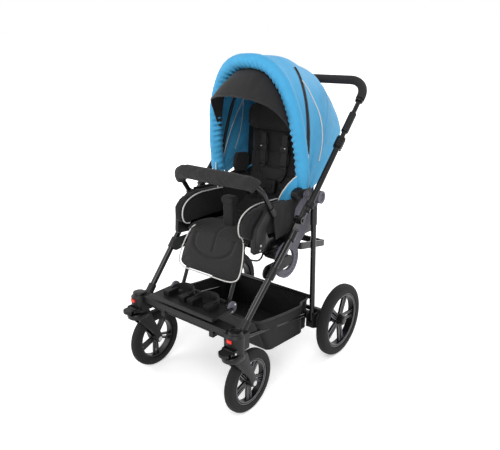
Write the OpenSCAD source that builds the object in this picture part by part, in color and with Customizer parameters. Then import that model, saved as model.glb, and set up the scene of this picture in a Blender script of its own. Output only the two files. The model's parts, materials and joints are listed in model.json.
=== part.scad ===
// Special needs buggy: folding tube frame on swivel casters and large rear wheels,
// tilting padded seat with harness, safety bar, leg rest, canopy and basket.
// +Z is up, the front is -Y, the child's left is +X, and the ground is z = 0.

/* [Wheels] */
// Diameter of a rear wheel over the tyre
rear_wheel_d = 290; // [270:2:310]
// Width of a rear tyre
rear_tyre_w = 44; // [36:1:46]
// Radial height of a rear tyre's section
rear_tyre_h = 34; // [26:1:40]
// Distance between the middles of the rear wheels
rear_track = 556; // [552:1:600]
// Diameter of a front wheel over the tyre
front_wheel_d = 224; // [200:2:230]
// Width of a front tyre
front_tyre_w = 38; // [30:1:40]
// Radial height of a front tyre's section
front_tyre_h = 30; // [22:1:34]
// Distance between the caster stems
front_track = 464; // [456:1:472]
// Distance from the front wheels' axis to the rear wheels' axis
wheelbase = 514; // [505:1:540]
// How far a front wheel's axis trails behind its stem
caster_trail = 63; // [50:1:66]
// Diameter of the wheel axles
axle_d = 12; // [8:0.5:14]
// Diameter of a caster's stem
stem_d = 16; // [12:0.5:18]

/* [Frame] */
// Diameter of the slanted front tubes
front_tube_d = 22; // [18:0.5:23]
// Diameter of the upright rear legs
leg_d = 20; // [16:0.5:20]
// Outer diameter of the handle's lower tubes
handle_tube_d = 21; // [20:0.5:22]
// Diameter of the telescopic push bar
push_bar_d = 17; // [15:0.5:18]
// Diameter of the foam grip
grip_d = 33; // [26:1:36]
// Height of the fold hinges
fold_z = 615; // [608:1:622]
// Distance between the handle's two tubes, middle to middle
handle_span = 514; // [510:1:520]
// Distance from the fold hinges to the middle of the grip, along the tubes
handle_reach = 607; // [600:1:640]
// Radius of the push bar's corners
handle_bend_r = 75; // [50:1:90]
// Steepness of the front and handle tubes, in degrees
tube_tilt = 46.75; // [46:0.25:47.5]
// Diameter of the rear cross tube
cross_tube_d = 18; // [14:1:20]

/* [Seat] */
// Width of the seat between its side plates
seat_w = 348; // [330:1:350]
// Depth of the seat cushion
seat_depth = 268; // [240:1:270]
// Thickness of the seat cushion at its middle
cushion_t = 38; // [30:1:42]
// Height of the seat pan's top above the ground
seat_z = 524; // [518:1:528]
// Length of the backrest along its slope
back_h = 425; // [400:1:430]
// Width of the backrest
back_w = 300; // [270:1:304]
// Lean of the backrest from the vertical, in degrees
back_lean = 4.5; // [2:0.5:6]
// Diameter of the safety bar's tube
bar_d = 18; // [14:0.5:19]
// Height of the safety bar above its sockets
bar_rise = 108; // [95:1:115]
// Outer diameter of the padded cover on the safety bar
bar_cover_d = 40; // [32:1:44]
// Length of the calf pad
calf_len = 176; // [150:1:180]
// Width of the calf pad at its lower end
calf_w = 304; // [280:1:310]
// Width of the foot platform
platform_w = 300; // [270:1:310]
// Depth of the foot platform
platform_d = 112; // [90:1:116]

/* [Canopy] */
// Radius of the canopy at its middle, from its hinge
canopy_r = 471; // [455:1:473]
// Half width of the canopy at its hinge
canopy_half_w = 206; // [202:1:210]
// Diameter of the padded front roll
roll_d = 52; // [40:1:56]
// Thickness of the canopy's cloth
canopy_t = 4; // [2:0.5:4]

/* [Basket] */
// Clearance from each side of the basket to the axle bracket beside it
basket_clear = 19.5; // [17:0.5:40]
// Thickness of the basket's walls
basket_t = 3; // [2:0.5:5]

/* [Fits] */
// Radial gap of a pin or shaft that turns or slides in a bore
run_gap = 0.06; // [0.02:0.01:0.1]
// Gap between pieces that lie against each other
seat_gap = 0.3; // [0.2:0.05:0.4]

/* [Hidden] */
$fn = 48;

frame_colour = "#1c1c1f";
plastic_colour = "#262628";
grey_colour = "#5a5862";
cloth_colour = "#2b2829";
blue_colour = "#3f94c8";
tyre_colour = "#3f3d40";
metal_colour = "#b8b8bc";
red_colour = "#e0322a";

// Places of the wheels and casters
stem_y = -345;
stem_x = front_track / 2;
front_axle_y = stem_y + caster_trail;
front_axle_z = front_wheel_d / 2;
rear_x = rear_track / 2;
rear_axle_y = front_axle_y + wheelbase;
rear_axle_z = rear_wheel_d / 2;
crown_z0 = front_wheel_d + 3;
crown_h = 25;
housing_z0 = crown_z0 + crown_h + seat_gap;
housing_h = 66;
housing_r = 30;
housing_z1 = housing_z0 + housing_h;
housing_back_y = stem_y + 46;
housing_in_x = stem_x - 34;

// Fold hinges and the plane of the handle
fold_y = -18;
fold_x = 245;
fold_half = 0.3;
fold_barrel_r = 15;
fold_pin_r = 5;
fold_reach = 50;
handle_x = handle_span / 2;
tube_low = [stem_x - 6, stem_y + 46, housing_z1 - 4];
tube_dir = [0, cos(tube_tilt), sin(tube_tilt)];
tube_top = [fold_x - 1, fold_y, fold_z] - (fold_reach - 5) * tube_dir;
front_dir = (tube_top - tube_low) / norm(tube_top - tube_low);

// Rear legs, their brackets and the knuckles behind the handle tubes
leg_x = 235;
leg_y = 101;
leg_pin_r = 5;
leg_z = rear_axle_z + 50;
bracket_gap = 0.5;
cheek_t = 5;
bracket_x0 = leg_x - leg_d / 2 - bracket_gap - cheek_t;
bracket_x1 = leg_x + leg_d / 2 + bracket_gap + cheek_t;
bracket_front_y = leg_y - 16;
knuckle_r = 23;
knuckle_s = 116;
knuckle_off = knuckle_r + handle_tube_d / 2 + seat_gap;
knuckle_y = fold_y + knuckle_s * cos(tube_tilt) + knuckle_off * sin(tube_tilt);
knuckle_z = fold_z + knuckle_s * sin(tube_tilt) - knuckle_off * cos(tube_tilt);
knuckle_w = 28;
leg_top_z = knuckle_z - 14;
leg_top_y = leg_y + (knuckle_y - leg_y) * (leg_top_z - leg_z) / (knuckle_z - leg_z);

// Seat, tilt pivot, leg rest hinge and backrest hinge
tilt_y = -40;
tilt_z = 468;
tilt_pin_r = 8;
quad_x0 = 204;
quad_t = 10.7;
quad_x1 = quad_x0 + quad_t;
plate_t = 8;
plate_x0 = seat_w / 2;
plate_x1 = plate_x0 + plate_t;
pan_t = 8;
pan_front_y = -132;
leg_hinge_y = -148;
leg_hinge_z = seat_z + 24;
leg_hinge_r = 8;
back_hinge_y = 168;
back_hinge_z = seat_z + 38;
back_hinge_r = 7;
back_foot = 14;
shell_t = 8;
back_t = 30;
leg_slope = 65.8;
leg_tube_r = 7;
leg_tube_x = 112;
leg_tube_len = 228;

// Safety bar: a flat arch that leans forward
bar_x = plate_x1 + 8;
bar_y = -114;
bar_z = seat_z + 146;
bar_lean = 33.5;
bar_bend_r = 52;

// Canopy hinge and the plane of its front roll
canopy_y = 69;
canopy_z = 682;
canopy_pin_r = 6;
canopy_n = 2.6;
roll_e = 97;

module on_side(s) {
  if (s > 0) children();
  else mirror([1, 0, 0]) children();
}

// Round rod from point p to point q
module rod(p, q, r) {
  v = q - p;
  len = norm(v);
  translate(p) rotate([0, acos(v[2] / len), atan2(v[1], v[0])]) cylinder(r = r, h = len);
}

// Round bar along X between two places, at a height and depth
module x_rod(x0, x1, y, z, r) {
  translate([x0, y, z]) rotate([0, 90, 0]) cylinder(r = r, h = x1 - x0);
}

// Flat outline given in (y, z), standing between two places along X
module upright(x0, x1) {
  translate([x0, 0, 0]) rotate([90, 0, 90]) linear_extrude(x1 - x0) children();
}

module block(p, q) {
  translate(p) cube(q - p);
}

// Frame along the handle: Y runs up the tube, Z leaves it to the front
module along_tube(x = 0) {
  translate([x, fold_y, fold_z]) rotate([tube_tilt, 0, 0]) children();
}

// Rod that runs along local Y
module y_rod(y0, y1, r) {
  translate([0, y0, 0]) rotate([-90, 0, 0]) cylinder(r = r, h = y1 - y0);
}

// Half of the round fold barrel on one side of its split plane
module half_barrel(y0, y1, x_side) {
  intersection() {
    union() {
      y_rod(min(y0, y1), max(y0, y1), fold_barrel_r);
      rotate([0, 90, 0]) cylinder(r = fold_barrel_r - 0.5, h = 2 * fold_barrel_r, center = true);
    }
    translate([x_side * (fold_barrel_r + fold_half), (y0 + y1) / 2, 0])
      cube([2 * fold_barrel_r, abs(y1 - y0) + 4 * fold_barrel_r, 4 * fold_barrel_r], center = true);
  }
}

// Front tube with the lower half of its fold barrel and the hinge pin
module front_tube(s) color(frame_colour) on_side(s) {
  rod(tube_low, tube_top, front_tube_d / 2);
  along_tube(fold_x) {
    y_rod(-fold_reach - 30, -fold_reach + 6, fold_barrel_r);
    half_barrel(-fold_reach, 0, -1);
    translate([-fold_barrel_r, 0, 0]) rotate([0, 90, 0])
      cylinder(r = fold_pin_r, h = 2 * fold_barrel_r + 3);
  }
}

// Caster housing: stem socket, tube socket and the ears of the swivel lock
lever_ear_t = 4;
lever_w = 42;
lever_y = stem_y - housing_r - 2;
lever_z = housing_z0 + 14;
lever_barrel_r = 6;
lever_pin_r = 3;
button_w = 17;
button_h = 10;
button_z = housing_z0 + 42;
button_y0 = stem_y - housing_r - 3;
button_depth = 12;
button_travel = 3;
socket_r = front_tube_d / 2 + 4;

module caster_housing(s) color(plastic_colour) on_side(s) difference() {
  union() {
    translate([stem_x, stem_y, housing_z0]) cylinder(r = housing_r, h = housing_h - 10);
    translate([stem_x, stem_y, housing_z1 - 10]) cylinder(r1 = housing_r, r2 = housing_r - 9, h = 10);
    block([stem_x - 24, stem_y, housing_z0], [stem_x + 20, housing_back_y, housing_z1 - 8]);
    block([housing_in_x, stem_y - 18, housing_z0 + 12], [stem_x, stem_y + 40, housing_z1 - 6]);
    rod(tube_low - 18 * front_dir, tube_low + 26 * front_dir, socket_r);
    for (side = [-1, 1])
      translate([stem_x + side * (lever_w / 2 + lever_ear_t / 2 + seat_gap), 0, 0])
        block([-lever_ear_t / 2, lever_y - 6, lever_z - 7], [lever_ear_t / 2, stem_y - 8, lever_z + 7]);
    x_rod(stem_x - lever_w / 2 - 1, stem_x + lever_w / 2 + 1, lever_y, lever_z, lever_pin_r);
  }
  translate([stem_x, stem_y, housing_z0 - 1]) cylinder(r = stem_d / 2 + run_gap, h = housing_h - 18);
  rod(tube_low, tube_low + 60 * front_dir, front_tube_d / 2 + run_gap);
  block([stem_x - button_w / 2 - seat_gap, button_y0 - 1, button_z - seat_gap],
    [stem_x + button_w / 2 + seat_gap, button_y0 + button_depth + button_travel + 1,
     button_z + button_h + seat_gap]);
  difference() {
    block([stem_x - lever_w / 2 - seat_gap, lever_y - 9, lever_z - 9],
      [stem_x + lever_w / 2 + seat_gap, lever_y + 8, lever_z + 13]);
    x_rod(stem_x - lever_w / 2 - 1, stem_x + lever_w / 2 + 1, lever_y, lever_z, lever_pin_r);
  }
}

// Footrest beam between the housings, and the thin bar with two clips below it
module cross_members() color(plastic_colour) {
  beam_z0 = housing_z0 + 42;
  x_end = housing_in_x - seat_gap / 3;
  difference() {
    block([-x_end, stem_y - 6, beam_z0], [x_end, stem_y + 38, beam_z0 + 22]);
    for (x = [-140, -70, 0, 70, 140])
      translate([x, stem_y + 16, beam_z0 - 1]) cylinder(r = 9, h = 10);
  }
  x_rod(-x_end, x_end, stem_y + 20, housing_z0 + 22, 6);
  for (side = [-1, 1])
    translate([side * 117, stem_y + 20, housing_z0 + 22]) difference() {
      block([-9, -12, -16], [9, 14, beam_z0 - housing_z0 - 22 - seat_gap]);
      rotate([0, 90, 0]) cylinder(r = 6 + run_gap, h = 40, center = true);
    }
}

// Side rails that carry the basket, from the caster housings to the axle brackets
rail_r = 7;
basket_w = 2 * (bracket_x0 - basket_clear);
rail_x = basket_w / 2 + seat_gap + rail_r;
rail_front = [rail_x, housing_back_y + seat_gap, housing_z0 + 12];
rail_back = [rail_x, bracket_front_y + 10, leg_z + 3];

rail_dir = (rail_back - rail_front) / norm(rail_back - rail_front);
module basket_rails() color(frame_colour)
  for (s = [-1, 1]) on_side(s) intersection() {
    rod(rail_front - rail_r * rail_dir, rail_back + rail_r * rail_dir, rail_r);
    block([0, rail_front[1], 0], [rear_track, rail_back[1], fold_z]);
  }

// Rear axle bracket: clevis for the leg, arm and stub axle of the wheel
module axle_brackets() color(plastic_colour)
  for (s = [-1, 1]) on_side(s) {
    difference() {
      union() {
        upright(bracket_x0, bracket_x1) bracket_outline();
        block([rail_x - rail_r, bracket_front_y + 10 + seat_gap, leg_z - 12],
          [bracket_x0, bracket_front_y + 26, leg_z + 17]);
      }
      block([leg_x - leg_d / 2 - bracket_gap, bracket_front_y - 5, leg_z - 17],
        [leg_x + leg_d / 2 + bracket_gap, leg_y + 26, leg_z + 40]);
      x_rod(bracket_x0 - 40, bracket_x0 + 2, brake_y, brake_z, brake_pin_r + run_gap);
    }
    x_rod(bracket_x0, bracket_x1, leg_y, leg_z, leg_pin_r);
    x_rod(bracket_x1 - 2, rear_x + rear_tyre_w / 2 - 3, rear_axle_y, rear_axle_z, axle_d / 2);
    x_rod(bracket_x1 - 2, rear_x - rear_tyre_w / 2 - 0.5, rear_axle_y, rear_axle_z, axle_d / 2 + 5);
  }

module bracket_outline() {
  polygon([[bracket_front_y, leg_z - 38], [leg_y + 16, leg_z - 50], [rear_axle_y - 8, rear_axle_z - 16],
    [rear_axle_y, rear_axle_z + 18], [rear_axle_y - 30, rear_axle_z + 34], [leg_y + 48, leg_z + 20],
    [leg_y + 30, leg_z + 22], [leg_y + 14, leg_z + 15], [bracket_front_y, leg_z + 15]]);
  translate([rear_axle_y, rear_axle_z]) circle(r = 18);
}

// Tube across the back of the chassis, between the axle brackets
cross_y = 146;
cross_z = leg_z + 8;
module rear_cross_tube() color(frame_colour)
  x_rod(-bracket_x0 + seat_gap / 3, bracket_x0 - seat_gap / 3, cross_y, cross_z, cross_tube_d / 2);

// Foot brake: bar turning in the brackets, with a pedal in the middle
brake_y = 196;
brake_z = rear_axle_z + 32;
brake_pin_r = 5;
brake_bar_r = 6.5;
module brake_bar() color(plastic_colour) {
  x_rod(-bracket_x0 - 0.5, bracket_x0 + 0.5, brake_y, brake_z, brake_pin_r);
  x_rod(-bracket_x0 + 1, bracket_x0 - 1, brake_y, brake_z, brake_bar_r);
  difference() {
    translate([0, brake_y, brake_z - 5]) linear_extrude(10) pedal_outline();
    for (x = [-28, -14, 0, 14, 28])
      block([x - 2.5, brake_y + 22, brake_z + 3], [x + 2.5, brake_y + 46, brake_z + 6]);
  }
}

module pedal_outline() {
  polygon([[-24, 0], [24, 0], [44, 26], [44, 44], [38, 52], [-38, 52], [-44, 44], [-44, 26]]);
}

// Bracket clamped on the front tube that carries the seat's tilt pin
tilt_plate_t = 6;
tilt_head_t = 6;
tilt_clamp_s = (tilt_z - 6 - fold_z) / sin(tube_tilt);
tilt_tube_y = fold_y + tilt_clamp_s * cos(tube_tilt);
module seat_brackets() color(plastic_colour)
  for (s = [-1, 1]) on_side(s) {
    difference() {
      union() {
        upright(quad_x1 + seat_gap, quad_x1 + seat_gap + tilt_plate_t) hull() {
          translate([tilt_y, tilt_z]) circle(r = 19);
          translate([tilt_tube_y, tilt_z - 6]) circle(r = 24);
        }
        tube_clamp(20, front_tube_d / 2 + 4);
      }
      tube_clamp(60, front_tube_d / 2 + run_gap);
    }
    x_rod(quad_x0 - seat_gap, quad_x1 + seat_gap + 1, tilt_y, tilt_z, tilt_pin_r);
    x_rod(quad_x0 - seat_gap - tilt_head_t, quad_x0 - seat_gap, tilt_y, tilt_z, tilt_pin_r + 4);
  }

// Length of the front tube around the seat bracket, as a round bar
module tube_clamp(half_len, r) {
  mid = tube_low + front_dir * norm([fold_x - 1, fold_y, fold_z] + tilt_clamp_s * tube_dir - tube_low);
  rod(mid - half_len * front_dir, mid + half_len * front_dir, r);
}

// Cloth basket: an open trough with a slanted front
basket_y0 = -141;
basket_y1 = cross_y - cross_tube_d / 2 - seat_gap;
basket_z0 = 138;
basket_rim_y0 = -206;
basket_rim_z0 = 284;
basket_rim_z1 = 222;
module basket() color(cloth_colour) difference() {
  upright(-basket_w / 2, basket_w / 2) basket_outline(0);
  upright(-basket_w / 2 + basket_t, basket_w / 2 - basket_t) basket_outline(basket_t);
}

module basket_outline(t) {
  lift = t > 0 ? 60 : 0;
  slope = (basket_y0 - basket_rim_y0) / (basket_rim_z0 - basket_z0 - 14);
  polygon([[basket_y0 + 1.1 * t, basket_z0 + 14 + t], [0, basket_z0 + t], [basket_y1 - t, basket_z0 - 4 + t],
    [basket_y1 - t, basket_rim_z1 + lift], [basket_rim_y0 - slope * lift + 1.1 * t, basket_rim_z0 + lift]]);
}

// Rear leg: upright tube with a thicker upper sleeve, hinged in the axle bracket
leg_axis_low = [leg_x, leg_y, leg_z];
leg_axis_top = [leg_x, leg_top_y, leg_top_z];
leg_dir = (leg_axis_top - leg_axis_low) / norm(leg_axis_top - leg_axis_low);
leg_len = norm(leg_axis_top - leg_axis_low);
module rear_leg(s) color(frame_colour) on_side(s) difference() {
  union() {
    rod(leg_axis_low - 13 * leg_dir, leg_axis_top, leg_d / 2);
    rod(leg_axis_low + (leg_len - 92) * leg_dir, leg_axis_low + (leg_len - 24) * leg_dir, leg_d / 2 + 2.5);
  }
  x_rod(bracket_x0, bracket_x1, leg_y, leg_z, leg_pin_r + run_gap);
}

// Grey knuckle on top of each leg, cradling the handle tube from behind
module leg_knuckles() color(grey_colour)
  for (s = [-1, 1]) on_side(s) difference() {
    union() {
      x_rod(handle_x - 4 - knuckle_w / 2, handle_x - 4 + knuckle_w / 2, knuckle_y, knuckle_z, knuckle_r);
      rod(leg_axis_top - 20 * leg_dir, leg_axis_top + 12 * leg_dir, leg_d / 2 + 3);
    }
    rod(leg_axis_top - 30 * leg_dir, leg_axis_top, leg_d / 2 + run_gap);
    along_tube(handle_x) y_rod(knuckle_s - 60, knuckle_s + 60, handle_tube_d / 2 + seat_gap);
    x_rod(handle_x - 4 + knuckle_w / 2 - 4, handle_x + knuckle_w, knuckle_y, knuckle_z, knuckle_r - 9);
  }

// Lower handle tube: upper half of the fold barrel, tube and height clamp
clamp_s = 325;
clamp_half = 22;
clamp_r = handle_tube_d / 2 + 5;
push_bore_r = push_bar_d / 2 + run_gap;
push_low = 150;
bridge_r = 7;
module handle_tube(s) color(frame_colour) on_side(s) difference() {
  union() {
    along_tube(fold_x) half_barrel(0, fold_reach, 1);
    along_tube()
      x_rod(min(fold_x + 1, handle_x), max(fold_x + 1, handle_x), fold_reach - 1.5 * bridge_r, 0, bridge_r);
    along_tube(handle_x) {
      y_rod(fold_reach - 14, clamp_s, handle_tube_d / 2);
      y_rod(clamp_s - clamp_half, clamp_s + clamp_half, clamp_r);
      for (i = [0:3])
        y_rod(clamp_s - clamp_half + 4 + 10 * i, clamp_s - clamp_half + 9 + 10 * i, clamp_r + 1.5);
    }
  }
  along_tube(fold_x) rotate([0, 90, 0]) cylinder(r = fold_pin_r + run_gap, h = 80, center = true);
  along_tube(handle_x) y_rod(push_low - 5, clamp_s + clamp_half + 5, push_bore_r);
}

// Sliding release sleeve of the fold lock
sleeve_len = 22;
sleeve_travel = 22;
module fold_sleeve(s) color(plastic_colour) on_side(s) along_tube(handle_x) difference() {
  union() {
    y_rod(fold_reach + 2, fold_reach + 2 + sleeve_len, handle_tube_d / 2 + 4.5);
    for (i = [0:2])
      y_rod(fold_reach + 5 + 7 * i, fold_reach + 8 + 7 * i, handle_tube_d / 2 + 5.5);
  }
  y_rod(fold_reach, fold_reach + 10 + sleeve_len, handle_tube_d / 2 + run_gap);
}

// Telescopic push bar: two legs, two round corners and the cross run
module push_bar() color(frame_colour) push_path(push_low) circle(r = push_bar_d / 2);

// Profile swept along the push bar from a given place on its legs
module push_path(y_from) along_tube() {
  y_corner = handle_reach - handle_bend_r;
  x_corner = handle_x - handle_bend_r;
  for (s = [-1, 1]) on_side(s) {
    translate([handle_x, y_from, 0]) rotate([-90, 0, 0]) linear_extrude(y_corner - y_from) children();
    translate([x_corner, y_corner, 0]) rotate_extrude(angle = 90)
      translate([handle_bend_r, 0]) children();
  }
  translate([-x_corner, handle_reach, 0]) rotate([90, 0, 90]) linear_extrude(2 * x_corner) children();
}

// Foam grip over the cross run and the corners of the push bar
grip_from = 520;
module handle_grip() color(plastic_colour)
  push_path(min(grip_from, handle_reach - handle_bend_r - 5)) difference() {
    circle(r = grip_d / 2);
    circle(r = push_bar_d / 2 + run_gap);
  }

// Caster fork: stem, crown and two slanted legs that hold the wheel's axle
fork_gap = 2;
fork_leg_t = 6;
fork_in = front_tyre_w / 2 + fork_gap;
fork_eye_r = 13;
module caster_fork(s) color(plastic_colour) on_side(s) difference() {
  union() {
    translate([stem_x, stem_y, crown_z0]) cylinder(r = stem_d / 2, h = crown_h + housing_h - 20);
    translate([stem_x, stem_y, crown_z0]) cylinder(r = housing_r - 2, h = crown_h);
    for (side = [-1, 1])
      translate([stem_x + side * (fork_in + fork_leg_t / 2), 0, 0])
        upright(-fork_leg_t / 2, fork_leg_t / 2) fork_leg_outline();
  }
  x_rod(stem_x - 50, stem_x + 50, front_axle_y, front_axle_z, axle_d / 2 + run_gap);
}

module fork_leg_outline() {
  translate([front_axle_y, front_axle_z]) circle(r = fork_eye_r);
  polygon([[stem_y - 24, crown_z0 + crown_h], [stem_y + 22, crown_z0 + crown_h],
    [stem_y + 34, crown_z0 - 20], [front_axle_y + fork_eye_r - 1, front_axle_z + 4],
    [front_axle_y - 8, front_axle_z - 10], [front_axle_y - 20, front_axle_z + 30],
    [stem_y - 8, crown_z0 - 26], [stem_y - 26, crown_z0 - 4]]);
}

// Front axle: bolt through the fork, with a head at each end
axle_head_t = 4;
module front_axle(s) color(metal_colour) on_side(s) {
  half = fork_in + fork_leg_t + seat_gap / 3;
  x_rod(stem_x - half, stem_x + half, front_axle_y, front_axle_z, axle_d / 2);
  for (side = [-1, 1])
    x_rod(stem_x + side * (half + axle_head_t / 2) - axle_head_t / 2,
      stem_x + side * (half + axle_head_t / 2) + axle_head_t / 2, front_axle_y, front_axle_z, axle_d / 2 + 3);
}

// Wheel rim about a local Z axis: hub, five double spokes and a dished ring
spoke_pairs = 5;
spoke_t = 9;
rim_wall = 9;
module wheel_rim(d, tyre_w, tyre_h, hub_r, hub_w, spoke_w, spoke_gap) {
  ring_r = d / 2 - tyre_h;
  difference() {
    union() {
      rotate_extrude() polygon([[ring_r - rim_wall, -tyre_w * 0.32], [ring_r - 0.05, -tyre_w * 0.32],
        [ring_r - 0.05, tyre_w * 0.32], [ring_r - rim_wall, tyre_w * 0.32]]);
      cylinder(r = hub_r, h = hub_w, center = true);
      for (i = [0:spoke_pairs - 1], side = [-1, 1])
        rotate([0, 0, i * 360 / spoke_pairs]) linear_extrude(spoke_t, center = true)
          spoke_outline(hub_r - 3, ring_r - rim_wall / 2, side * spoke_gap, spoke_w / 2);
    }
    cylinder(r = axle_d / 2 + run_gap, h = hub_w + 2, center = true);
  }
}

// One bar of a double spoke, drawn closer to its twin at the hub
module spoke_outline(r0, r1, off, half) {
  off_hub = off * 0.7;
  polygon([[r0, off_hub - half], [r1, off - half], [r1, off + half], [r0, off_hub + half]]);
}

// Tyre about a local Z axis, with a rounded tread
module wheel_tyre(d, w, h) {
  shoulder = min(w / 2 - 3, h - 4, 15);
  r0 = d / 2 - h;
  arc = [for (i = [0:6]) i * 15];
  rotate_extrude() polygon(concat([[r0 + 0.05, -w * 0.36]],
    [for (a = arc) [d / 2 - shoulder + shoulder * sin(a), -w / 2 + shoulder - shoulder * cos(a)]],
    [for (a = arc) [d / 2 - shoulder + shoulder * cos(a), w / 2 - shoulder + shoulder * sin(a)]],
    [[r0 + 0.05, w * 0.36]]));
}

module at_front_wheel(s) on_side(s)
  translate([stem_x, front_axle_y, front_axle_z]) rotate([0, 90, 0]) children();
module at_rear_wheel(s) on_side(s)
  translate([rear_x, rear_axle_y, rear_axle_z]) rotate([0, 90, 0]) rotate([0, 0, 12]) children();

module front_rim(s) color(plastic_colour) at_front_wheel(s)
  wheel_rim(front_wheel_d, front_tyre_w, front_tyre_h, 17, 2 * fork_in - 1, 7, 9);
module front_tyre(s) color(tyre_colour) at_front_wheel(s)
  wheel_tyre(front_wheel_d, front_tyre_w, front_tyre_h);
module rear_rim(s) color(plastic_colour) at_rear_wheel(s) {
  wheel_rim(rear_wheel_d, rear_tyre_w, rear_tyre_h, 20, rear_tyre_w - 2, 8, 11);
  translate([0, 0, rear_tyre_w / 2 - 0.9]) cylinder(r1 = 17, r2 = 13, h = 5);
}
module rear_tyre(s) color(tyre_colour) at_rear_wheel(s)
  wheel_tyre(rear_wheel_d, rear_tyre_w, rear_tyre_h);

// Tongue of the swivel lock, hinged at the front of the caster housing
lever_len = 38;
module caster_lever(s) color(plastic_colour) on_side(s) difference() {
  union() {
    x_rod(stem_x - lever_w / 2, stem_x + lever_w / 2, lever_y, lever_z, lever_barrel_r);
    translate([stem_x, lever_y, lever_z - 4]) linear_extrude(8) {
      translate([-lever_w / 2, -lever_len + lever_w / 2]) square([lever_w, lever_len - lever_w / 2]);
      translate([0, -lever_len + lever_w / 2]) circle(r = lever_w / 2);
    }
  }
  x_rod(stem_x - 40, stem_x + 40, lever_y, lever_z, lever_pin_r + run_gap);
  block([stem_x - 30, lever_y + lever_barrel_r, lever_z - 10], [stem_x + 30, lever_y + 40, lever_z + 10]);
}

// Red release button in the front of the caster housing
module caster_button(s) color(red_colour) on_side(s)
  block([stem_x - button_w / 2, button_y0, button_z],
    [stem_x + button_w / 2, button_y0 + button_depth, button_z + button_h]);

// Seat frame: pan, side plates with bar sockets, cross tubes and the rear hoop
seat_cross_r = 9;
seat_cross_y = 30;
seat_cross_z = seat_z - pan_t - seat_cross_r + 2;
hoop_y = 214;
hoop_h = 24;
hoop_t = 6;
hoop_drop = 56;
hoop_z = seat_z - hoop_drop;
hoop_x1 = quad_x0 - seat_gap / 3;
module seat_frame() color(frame_colour) {
  difference() {
    union() {
      block([-plate_x0 - 1, pan_front_y, seat_z - pan_t], [plate_x0 + 1, back_hinge_y - 12, seat_z]);
      for (s = [-1, 1]) on_side(s) upright(plate_x0, plate_x1) seat_plate_outline();
      for (s = [-1, 1]) on_side(s) bar_frame() translate([bar_x, 0, 0]) y_rod(-socket_len, -2, bar_d / 2 + 3);
      x_rod(-hoop_x1, hoop_x1, seat_cross_y, seat_cross_z, seat_cross_r);
    }
    x_rod(-plate_x1 - 1, plate_x1 + 1, leg_hinge_y, leg_hinge_z, leg_hinge_r + run_gap);
    x_rod(-plate_x1 - 1, plate_x1 + 1, back_hinge_y, back_hinge_z, back_hinge_r + run_gap);
    for (s = [-1, 1]) on_side(s) bar_frame() translate([bar_x, 0, 0])
      y_rod(-socket_len + 4, 5, bar_d / 2 + run_gap);
  }
  for (s = [-1, 1]) on_side(s)
    upright(hoop_x1 - hoop_t, hoop_x1)
      polygon([[24, hoop_z + 20], [60, hoop_z + 6], [hoop_y + 1, hoop_z - hoop_h], [hoop_y + 1, hoop_z],
        [62, hoop_z + 32], [28, hoop_z + 44]]);
  block([-hoop_x1, hoop_y, hoop_z - hoop_h], [hoop_x1, hoop_y + hoop_t, hoop_z]);
}

module seat_plate_outline() {
  polygon([[leg_hinge_y - 40, seat_z - 2], [leg_hinge_y + 26, seat_z - pan_t],
    [back_hinge_y + 10, seat_z - pan_t], [back_hinge_y + 14, back_hinge_z + 8],
    [back_hinge_y - 14, back_hinge_z + 12], [back_hinge_y - 40, seat_z + 28],
    [leg_hinge_y + 40, seat_z + 34], [leg_hinge_y + 20, seat_z + 70], [bar_y + 26, bar_z - 26],
    [bar_y + 14, bar_z + 2], [bar_y - 8, bar_z - 6], [leg_hinge_y - 40, seat_z + 84]]);
}

// Frame of the safety bar: Y runs up its legs, the hinge side is below
socket_len = 34;
module bar_frame() translate([0, bar_y, bar_z]) rotate([90 + bar_lean, 0, 0]) children();

module safety_bar() color(frame_colour) bar_path(-socket_len + 5) circle(r = bar_d / 2);

module bar_path(y_from) bar_frame() {
  y_corner = bar_rise - bar_bend_r;
  x_corner = bar_x - bar_bend_r;
  for (s = [-1, 1]) on_side(s) {
    translate([bar_x, y_from, 0]) rotate([-90, 0, 0]) linear_extrude(y_corner - y_from) children();
    translate([x_corner, y_corner, 0]) rotate_extrude(angle = 90) translate([bar_bend_r, 0]) children();
  }
  translate([-x_corner, bar_rise, 0]) rotate([90, 0, 90]) linear_extrude(2 * x_corner) children();
}

// Padded cover on the safety bar's cross run and on the bend at the child's right
module bar_cover() color(cloth_colour) difference() {
  bar_frame() {
    x_corner = bar_x - bar_bend_r;
    translate([0, bar_rise, 0]) x_rod(-x_corner, x_corner, 0, 0, bar_cover_d / 2);
    mirror([1, 0, 0]) translate([x_corner, bar_rise - bar_bend_r, 0]) rotate_extrude(angle = 90)
      translate([bar_bend_r, 0]) circle(r = bar_cover_d / 2);
  }
  bar_path(0) circle(r = bar_d / 2 + run_gap);
}

// Grey tilt quadrant: index ring round the pivot, and the plate that carries seat and canopy
ring_r1 = 66;
ring_r0 = 38;
index_holes = 9;
module tilt_quadrant(s) color(grey_colour) on_side(s) difference() {
  union() {
    upright(quad_x0, quad_x1) quadrant_outline();
    x_rod(quad_x0 - 12, quad_x0 + 1, canopy_y, canopy_z, canopy_pin_r);
  }
  x_rod(quad_x0 - 1, quad_x1 + 1, tilt_y, tilt_z, tilt_pin_r + run_gap);
  for (i = [0:index_holes - 1])
    x_rod(quad_x0 + 4, quad_x1 + 1, tilt_y + 54 * cos(-110 + 14 * i), tilt_z + 54 * sin(-110 + 14 * i), 2.6);
}

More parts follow.
